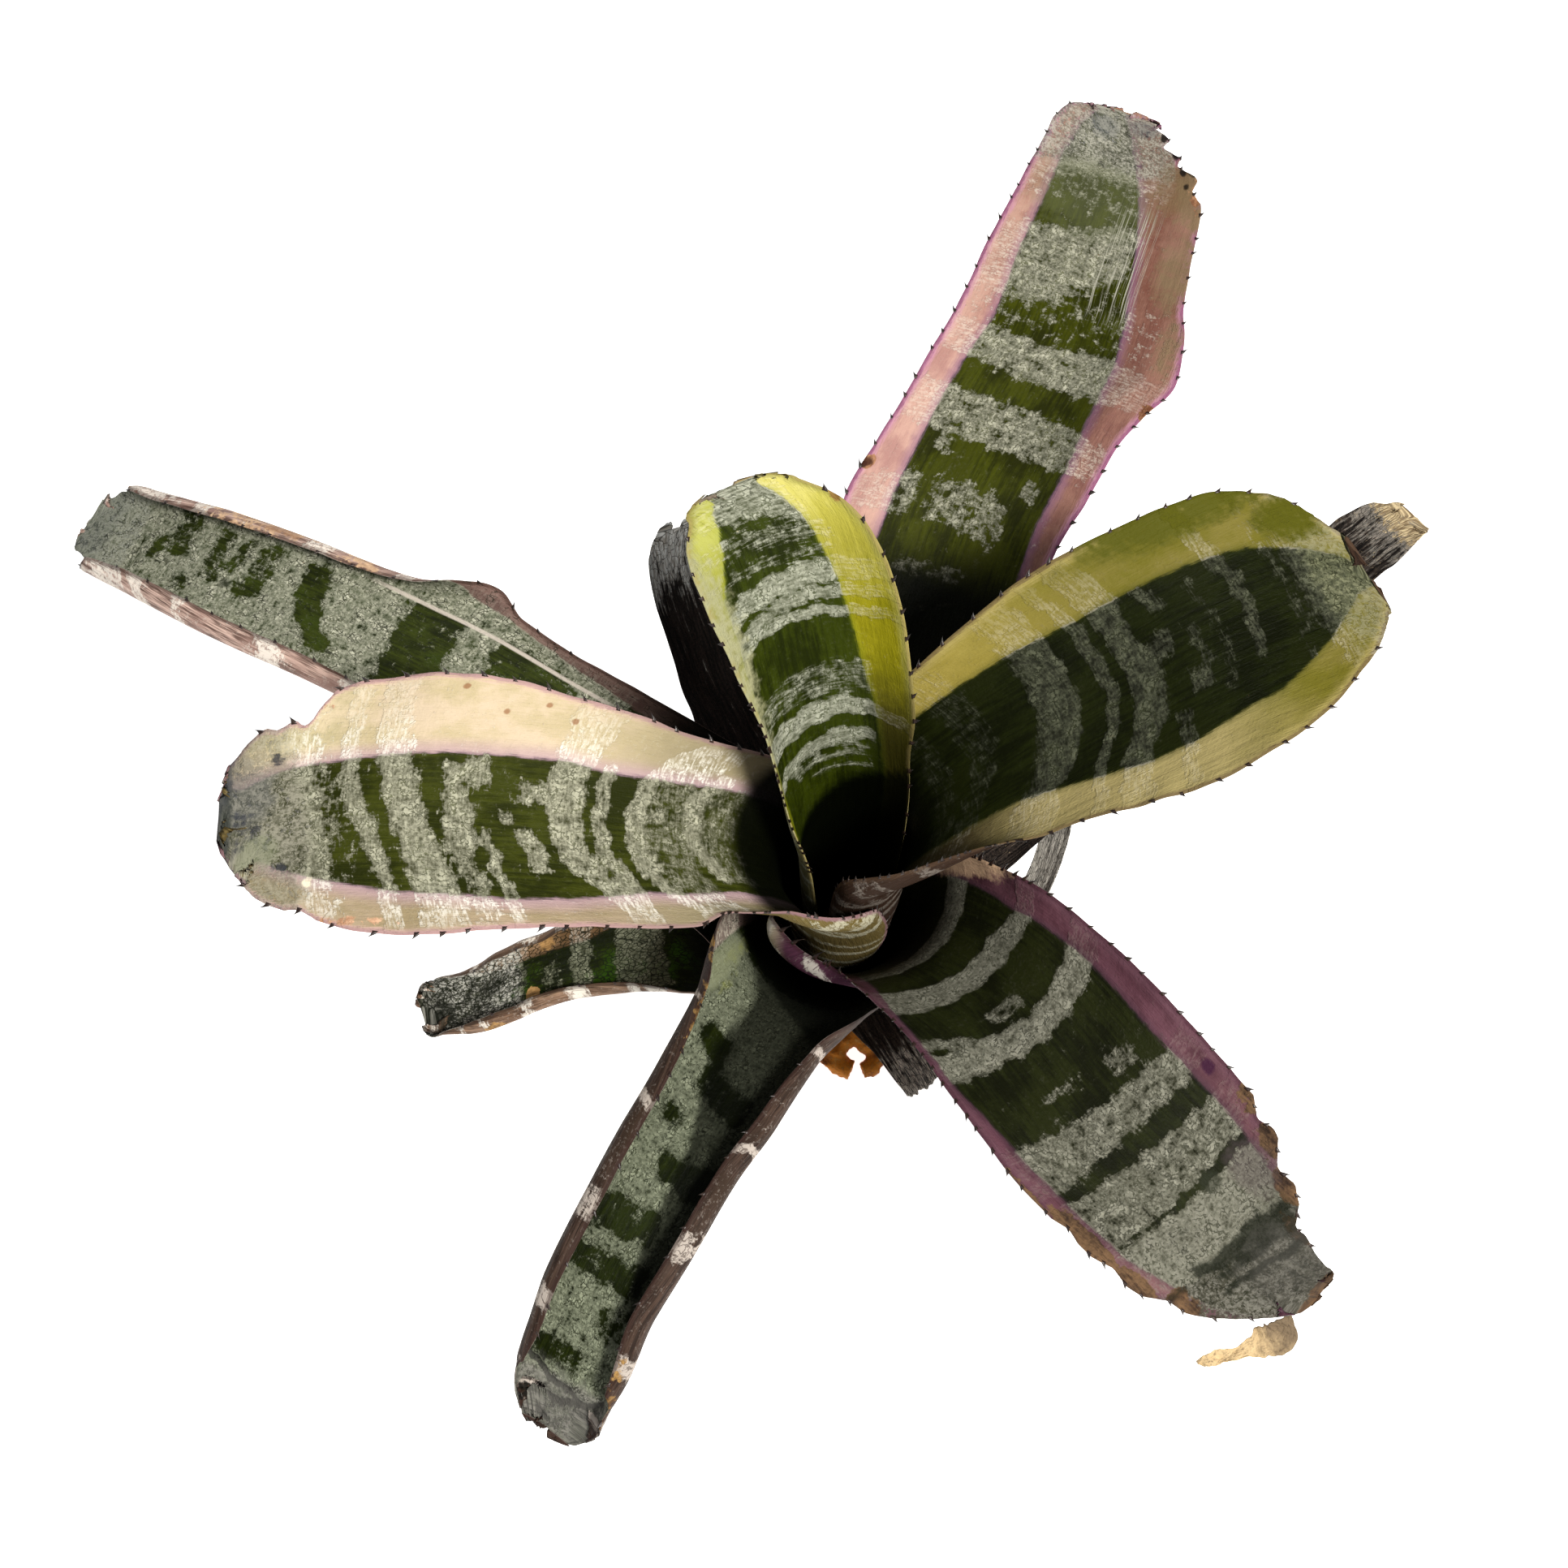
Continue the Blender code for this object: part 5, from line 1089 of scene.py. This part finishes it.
LOOK["leaf_far_left"] = dict(
    seed=7, spines=(110, 12, 1.7), step=1.1, strip_n=16, flat_n=9, rough=0.6, pitch=19, half=4.6, torn=1.6,
    green=[(0, 34, 34), (86, 34, 30), (98, 34, 20), (173, 34, 27), (186, 34, 34), (302, 34, 34)],
    bands=[(0.88, (3, 6), [(-30, 210, 92), (30, 205, 88)]),
        (-0.8, 1.4, [(-14, 215.8, 2.8), (-2, 213.4, 3), (10, 204, 3)]),
        (-0.75, 2.4, [(-17, 178, 6.5), (0, 177, 7), (12, 176, 7)]),
        (-0.75, 4, [(-18, 145, 10), (12, 134, 14)]), (-0.5, 1.2, [(-4, 268, 1.8), (2, 268, 1.8)]),
        (-0.5, 2.2, [(-16, 262, 2.4), (-2, 261, 1.8)]), (-0.45, 2, [(-14, 248, 1.6), (2, 246, 1.6)]),
        (-0.5, 1.2, [(6, 254, 1.5), (10, 254, 1.5)]), (-0.5, 1.6, [(-1, 234, 2.2), (4, 234, 2.2)]),
        (-0.45, 2, [(-15, 232, 1.8), (1, 231, 1.5)]), (-0.45, 1, [(-14, 239, 1.2), (-3, 241, 1.2)]),
        (-0.35, 1, [(0, 275, 1), (12, 274, 1)]), (1.2, 6, [(-20, 292, 12), (20, 290, 12)])],
    shade=lambda s, v, rim: smooth(132, 92, s),
    dead=[(236, -24, 22, 6, 0.55), (286, -21, 10, 5, 0.35), (206, -28, 10, 4, 0.5)],
    stain=[(292, 2, 8, 7, 0.4), (262, 10, 6, 5, 0.25)], notches=[(292, 1, 7, 12), (291, -1, 6, 11)],
    tears=[(-20, 7, 8), (20, 12, 10), (-6, 2, 3)],
    colours=dict(green=("181d09", "313910", "27330e"), margin=("5a4540", "7a645c", "846a62"),
        margin_tip=("5a4540", "7a645c"), boundary="2e241f", line=0, edge="3a2822",
        silver=("4d5241", "c2c2af"), tip_silver=("4b4f54", "80837c"), smudge="3a3f44", margin_silver=0.12,
        weave=0.25, back=("5c4841", "c0a599", "8c7067"), back_rim="7d675d", back_white="ddd5cb",
        dead=("8a6a54", "cfb090"), crack=0.9, craze=0.09, keel=(-18.4, 0.55, 112, 205),
        tints=[(296, 0, 8, 30, "60645f", 0.35), (240, 2, 1.8, 1.6, "1c2014", 0.8)]))
LOOK["withered_leaf_left"] = dict(
    seed=8, spines=(60, 15, 1.3), step=0.9, strip_n=14, flat_n=10, rough=1.3, frill=0.9, pitch=13, half=3.4,
    torn=4,
    green=[(0, 30, 30), (62, 30, 14), (84, 24, 7), (110, 20, 7), (147, 30, 12)],
    bands=[(0.85, 1.6, [(-14, 86, 2.4), (14, 87, 2.4)]), (0.85, 2, [(-14, 66, 6), (14, 66, 8)]),
        (0.55, 1.5, [(-2, 97, 2.4), (12, 96, 2)]), (1.4, (30, 3), [(-20, 122, 14), (20, 124, 14)])],
    shade=lambda s, v, rim: np.maximum(smooth(60, 40, s), 0.6 * smooth(128, 144, s + 0.4 * v)),
    dead=[(104, 6, 3, 3, 0.9), (98, -10, 3, 3, 0.8), (118, 13, 5, 3, 0.8)],
    stain=[(124, 0, 12, 9, 0.45), (108, -2, 6, 5, 0.4), (138, 2, 6, 6, 0.6)], tears=[(3, 4, 4)],
    colours=dict(green=("101406", "232e08", "2f550d"), margin=("5f4932", "886c51", "8d775e"),
        margin_tip=("5a4636", "8f7a60"), boundary="33271d", edge="2c2119", edge_power=0.5,
        silver=("3a3d2e", "999c87"), tip_silver=("33332e", "c4c3ba"), smudge="111210", pale="c6bfb2",
        margin_silver=0.5, back=("4a382d", "8a705c", "604a3c"), back_rim="6a5648", back_white="ded8ce",
        dead=("4e3a26", "b08a58"), crack=1, craze=0.12, craze_mask=-0.2))

# Dead leaves: three tones, where they turn grey and how straw-coloured they are past straw_from.
DRY = {
    # The back leaf's near-black tones are partly its dead colour and partly painted shade, the leaf lying in
    # shadow.
    "dried_leaf_back": dict(seed=21, tone=("070504", "1c1512", "8f9190"), grey_from=137, straw=0),
    "dried_leaf_right": dict(seed=22, tone=("0a0706", "3a322d", "8d857c"), grey_from=232, straw=0.95,
                             straw_from=240),
    "dried_leaf_bent": dict(seed=23, tone=("221c18", "56504a", "a8a49c"), grey_from=36, straw=0),
    # The stub's end is grey; its near-white third tone is partly painted light, lifting the end out of its
    # shadow.
    "dried_leaf_stub": dict(seed=24, torn=1.6, tears=[], tone=("1f1813", "463b32", "f4ebdc"), grey_from=39,
                            straw=0.1),
}
BEYOND_TIP = 400
DRY_DEFAULTS = dict(step=1.1, flat_n=8, strip_n=6, rough=1, frill=0.9, rib=0.25, bands=[], torn=5,
    tears=[(3, 4, 2), (-5, 3, 2)], green=[(0, 0, 0), (BEYOND_TIP, 0, 0)], straw_from=BEYOND_TIP)


def dry_build(name, c):
    """The mesh of a dead leaf: its second mark says how grey it is, and its third how straw-coloured."""
    look = {**DRY_DEFAULTS, **c}
    grey, straw = look["grey_from"], look["straw_from"]
    build = leaf_build(name, dict(look, shade=lambda s, v, rim: smooth(straw - 6, straw + 4, s)))
    for place, marks in zip(build.data["place"], build.data["marks"]):
        marks[:, 1] = smooth(grey - 18, grey + 12, place[:, 0])
    return build


# ------------------------------------------------------------------ roots
# Each root: direction, reach, sway, rise, how it curls at its end, and radius.
ROOTS = [(-112, 40, 22, 3, 230, 4.2), (-56, 46, 20, 0.6, -300, 3.9), (-27, 44, -25, 2, 260, 3.4),
         (2, 40, 25, 3, -250, 3.6), (33, 42, -22, 3, 280, 3.5), (66, 44, 28, 3, 240, 3.6),
         (98, 46, -25, 3, -270, 3.6), (131, 47, 22, 3, 260, 3.7), (163, 40, -28, 3, -240, 3.5),
         (195, 43, 24, 4, 280, 3.6), (228, 45, -20, 5, -300, 4), (-90, 30, -30, 2, -200, 3.4),
         (-40, 27, 25, 1, 200, 3.2), (15, 26, -25, 6, 220, 3.2), (80, 27, 22, 6, -200, 3.2),
         (145, 27, -25, 6, 220, 3.2), (210, 29, 25, 7, -220, 3.3)]
# Two more roots that show between the leaves: points x, y, z and the radius.
LOBES = [[(2, -10, 6.5, 4), (4.5, -18, 7.5, 3.6), (3.5, -24, 7.5, 4.4), (1.5, -29, 7, 4.4),
          (-1.5, -34, 6, 3.9), (-4.5, -38.3, 4.6, 3)],
         [(3, -14, 6.5, 3.6), (5.5, -22, 8, 3.6), (7.5, -27, 8, 4.2), (11.2, -31, 6.5, 4),
          (13.6, -35, 5, 3.3), (12, -38.6, 4.8, 3.3), (8.5, -40, 4.8, 3.1)]]
# The core that holds them together, r and z.
CORE = [(0.01, 0.2), (9, 0.2), (13, 1.6), (14, 5), (12.5, 9), (10.5, 11.4), (0.01, 11.5)]
ROOT_STEPS, ROOT_START, ROOT_HEIGHT = 13, 5, 6.8
ROOT_RINGS, ROOT_SIDES, CORE_SIDES, VOXEL, KNOBS = 60, 14, 32, 0.8, 0.35


def root_path(angle, reach, sway, rise, curl, size):
    """One root: out of the collar, down to the ground, hooking round sideways at its end."""
    points, stride = [], reach / (ROOT_STEPS - 1)
    x, y = ROOT_START * math.cos(math.radians(angle)), ROOT_START * math.sin(math.radians(angle))
    for i in range(ROOT_STEPS):
        f = i / (ROOT_STEPS - 1)
        z = ROOT_HEIGHT + rise * math.sin(math.pi * min(1.0, 1.25 * f)) - 3.0 * f
        points.append((x, y, max(size + 0.2, z), size * (1.1 - 0.3 * f + 0.12 * math.sin(7 * f + angle))))
        heading = math.radians(angle + sway * math.sin(3.0 * f) + curl * max(0.0, f - 0.45) ** 1.4)
        x += stride * math.cos(heading)
        y += stride * math.sin(heading)
    return points


def resample(points, count):
    """A smooth run of count rows through the points."""
    points = np.array(points, float)
    f, x = np.linspace(0, 1, len(points)), np.linspace(0, 1, count)
    return np.stack([monotone(f, column, x) for column in points.T], -1)


def tube(path, radii, sides):
    """A closed round tube along a path."""
    along = np.gradient(path, axis=0)
    along /= np.linalg.norm(along, axis=1, keepdims=True)
    u = np.cross(along[0], [0, 0, 1.0] if abs(along[0][2]) < 0.9 else [1.0, 0, 0])
    verts = []
    for point, t, radius in zip(path, along, radii):
        u = u - t * np.dot(u, t)
        u /= np.linalg.norm(u)
        w = np.cross(t, u)
        for k in range(sides):
            a = 2 * math.pi * k / sides
            verts.append(point + radius * (math.cos(a) * u + math.sin(a) * w))
    ends = [tuple(range(sides))[::-1], tuple(range(len(verts) - sides, len(verts)))]
    return np.array(verts), tube_faces(len(path), sides) + ends


def vectors(mesh, key):
    """Positions or normals of a mesh's points."""
    values = np.empty(len(mesh.vertices) * 3, np.float32)
    mesh.vertices.foreach_get(key, values)
    return values.reshape(-1, 3)


def roots():
    """All the roots and their core, fused into one knobbly body."""
    rng = np.random.default_rng(41)
    parts = []
    for points in [root_path(*spec) for spec in ROOTS] + LOBES:
        path = resample(points, ROOT_RINGS)
        swell = np.sin(np.linspace(0, rng.uniform(26, 40), ROOT_RINGS) + rng.uniform(0, 6))
        knob = 1 + 0.10 * swell + 0.05 * rng.standard_normal(ROOT_RINGS)
        parts.append(tube(path[:, :3], path[:, 3] * knob, ROOT_SIDES))
    turns = [2 * math.pi * k / CORE_SIDES for k in range(CORE_SIDES)]
    core = [(r * math.cos(a), r * math.sin(a), z) for r, z in CORE for a in turns]
    parts.append((np.array(core), tube_faces(len(CORE), CORE_SIDES)))
    faces, count = [], 0
    for verts, own in parts:
        faces += [tuple(i + count for i in face) for face in own]
        count += len(verts)
    rough = bpy.data.meshes.new("root_clump_fine")
    rough.from_pydata([tuple(v) for v in np.concatenate([verts for verts, own in parts]) * MM], [], faces)
    ob = bpy.data.objects.new("root_clump_fine", rough)
    bpy.context.scene.collection.objects.link(ob)
    fuse = ob.modifiers.new("fuse", "REMESH")
    fuse.mode, fuse.voxel_size, fuse.use_smooth_shade = "VOXEL", VOXEL * MM, True
    mesh = bpy.data.meshes.new_from_object(ob.evaluated_get(bpy.context.evaluated_depsgraph_get()))
    ob.modifiers.clear()
    ob.data = mesh
    bpy.data.meshes.remove(rough)
    co, normals = vectors(mesh, "co"), vectors(mesh, "normal")
    x, y, z = (co / MM).T
    bump = np.sin(x * 1.9 + 2 * np.sin(y * 0.9)) * np.sin(y * 2.3 + z) * np.sin(z * 2.1 + x * 0.7)
    co = co + normals * (KNOBS * bump * MM)[:, None]
    co[:, 2] = np.maximum(co[:, 2], 0.05 * MM)
    mesh.vertices.foreach_set("co", co.ravel())
    mesh.polygons.foreach_set("use_smooth", [True] * len(mesh.polygons))
    mesh.materials.clear()
    mesh.materials.append(root_material())
    mesh.update()
    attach(ob, BODY)
    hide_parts("root_clump")


# ------------------------------------------------------------------ the dry scrap
# It hangs by a thread from the tip of the lower right leaf: x, y, z and half width along its path.
SCRAP = [(119, -121.4, 128.2, 4.2), (118.6, -124.2, 127, 2), (118.2, -126.4, 125.8, 0.5),
         (118, -127.6, 124.4, 0.6), (117.4, -130, 121.5, 2.8), (116.2, -132.8, 119, 4.8),
         (113, -135, 117, 4.6), (109.2, -136.6, 116, 2.6), (105, -137.9, 115.5, 1.6),
         (100.5, -139, 115, 1.9), (97, -139.8, 115, 1.7), (94, -140.4, 115, 0.5)]
SCRAP_LENGTH, SCRAP_ROWS, SCRAP_COLS, SCRAP_THICKNESS = 60, 90, 15, 0.35


def scrap(build):
    """A crumpled papery strip with ragged edges, as one closed body."""
    p = resample(SCRAP, SCRAP_ROWS)
    run = np.gradient(p[:, :3], axis=0)
    side = np.cross(run, [0.25, 0.1, 1.0])
    side /= np.linalg.norm(side, axis=1, keepdims=True)
    up = np.cross(side, run)
    up /= np.linalg.norm(up, axis=1, keepdims=True)
    along = np.linspace(0, 1, SCRAP_ROWS) * SCRAP_LENGTH
    s, c = np.meshgrid(along, np.linspace(-1, 1, SCRAP_COLS), indexing="ij")
    edge = np.sign(c) * 9
    wide = p[:, 3:4] * (1 + 0.14 * ripple(51, s, edge, 9, 30) + 0.06 * ripple(52, s, edge, 3.2, 30))
    lift = 0.55 * ripple(53, s, c * 4, 11, 9) + 0.25 * ripple(54, s, c * 4, 3.5, 5)
    lift = lift + 0.16 * p[:, 3:4] * c ** 2
    top = p[:, None, :3] + side[:, None] * (c * wide)[..., None] + up[:, None] * lift[..., None]
    under = top - up[:, None] * SCRAP_THICKNESS
    index = np.arange(s.size).reshape(s.shape)
    ring = list(index[:, 0]) + list(index[-1, 1:]) + list(index[-2::-1, -1]) + list(index[0, -2:0:-1])
    quads = grid_faces(*s.shape)
    faces = list(quads[:, ::-1]) + list(quads + s.size)
    faces += [(ring[k - 1], ring[k], ring[k] + s.size, ring[k - 1] + s.size) for k in range(len(ring))]
    place = np.stack([s, c * 4, np.full(s.shape, 2)], -1)
    build.add(np.stack([top, under]), faces, SCRAP_PAPER, place=np.stack([place, place]))


# ------------------------------------------------------------------ the plant
spines = spine_material()
for name, look in LOOK.items():
    build = leaf_build(name, look)
    c = {**COLOUR_DEFAULTS, **look["colours"], "seed": look["seed"]}
    materials = [face_material(name + "_face", c), back_material(name + "_back", c), spines]
    if name == "leaf_lower_right":
        scrap(build)
        materials.append(scrap_material())
    ob = build.finish(name + "_fine", materials)
    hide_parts(name)
for name, c in DRY.items():
    build = dry_build(name, c)
    skin = dry_material(name + "_skin", c)
    ob = build.finish(name + "_fine", [skin, skin, spines])
    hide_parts(name)
roots()
stem = frame["nodes"]["stem"].data
stem.materials.clear()
stem.materials.append(stem_material())

# ------------------------------------------------------------------ floor, light and camera
FLOOR_SIZE, WORLD_STRENGTH = 6, 0.24
LIGHTS = [("key", (0.60, -0.52, 1.52), (0, 0, 0.12), 0.38, 42, (1.0, 0.97, 0.91)),
          ("top", (-0.6, 0.5, 1.7), (0, 0, 0.1), 1.4, 5, (1, 1, 1))]
CAMERA_PLACE, CAMERA_TILT, CAMERA_HALF_ANGLE, SENSOR = (-0.01931, -0.14905, 0.60254), 20, 25, 36

bpy.ops.mesh.primitive_plane_add(size=FLOOR_SIZE, location=(0, 0, 0))
floor = bpy.context.object
floor.name = "floor"
floor.data.materials.append(floor_material())

world = bpy.data.worlds.new("studio")
bpy.context.scene.world = world
world.use_nodes = True
world.node_tree.nodes["Background"].inputs[0].default_value = (1, 1, 1, 1)
world.node_tree.nodes["Background"].inputs[1].default_value = WORLD_STRENGTH


def put_in_scene(name, data, place):
    ob = bpy.data.objects.new(name, data)
    bpy.context.scene.collection.objects.link(ob)
    ob.location = place
    return ob


for name, place, target, size, power, tint in LIGHTS:
    lamp = bpy.data.lights.new(name, "AREA")
    lamp.shape, lamp.size, lamp.energy, lamp.color = "DISK", size, power, tint
    ob = put_in_scene(name, lamp, place)
    ob.rotation_euler = (Vector(target) - Vector(place)).to_track_quat("-Z", "Y").to_euler()

lens = bpy.data.cameras.new("camera")
lens.sensor_width = SENSOR
lens.lens = SENSOR / 2 / math.tan(math.radians(CAMERA_HALF_ANGLE))
camera = put_in_scene("camera", lens, CAMERA_PLACE)
camera.rotation_euler = (math.radians(CAMERA_TILT), 0, 0)
bpy.context.scene.camera = camera
bpy.context.scene.view_settings.view_transform = "Standard"
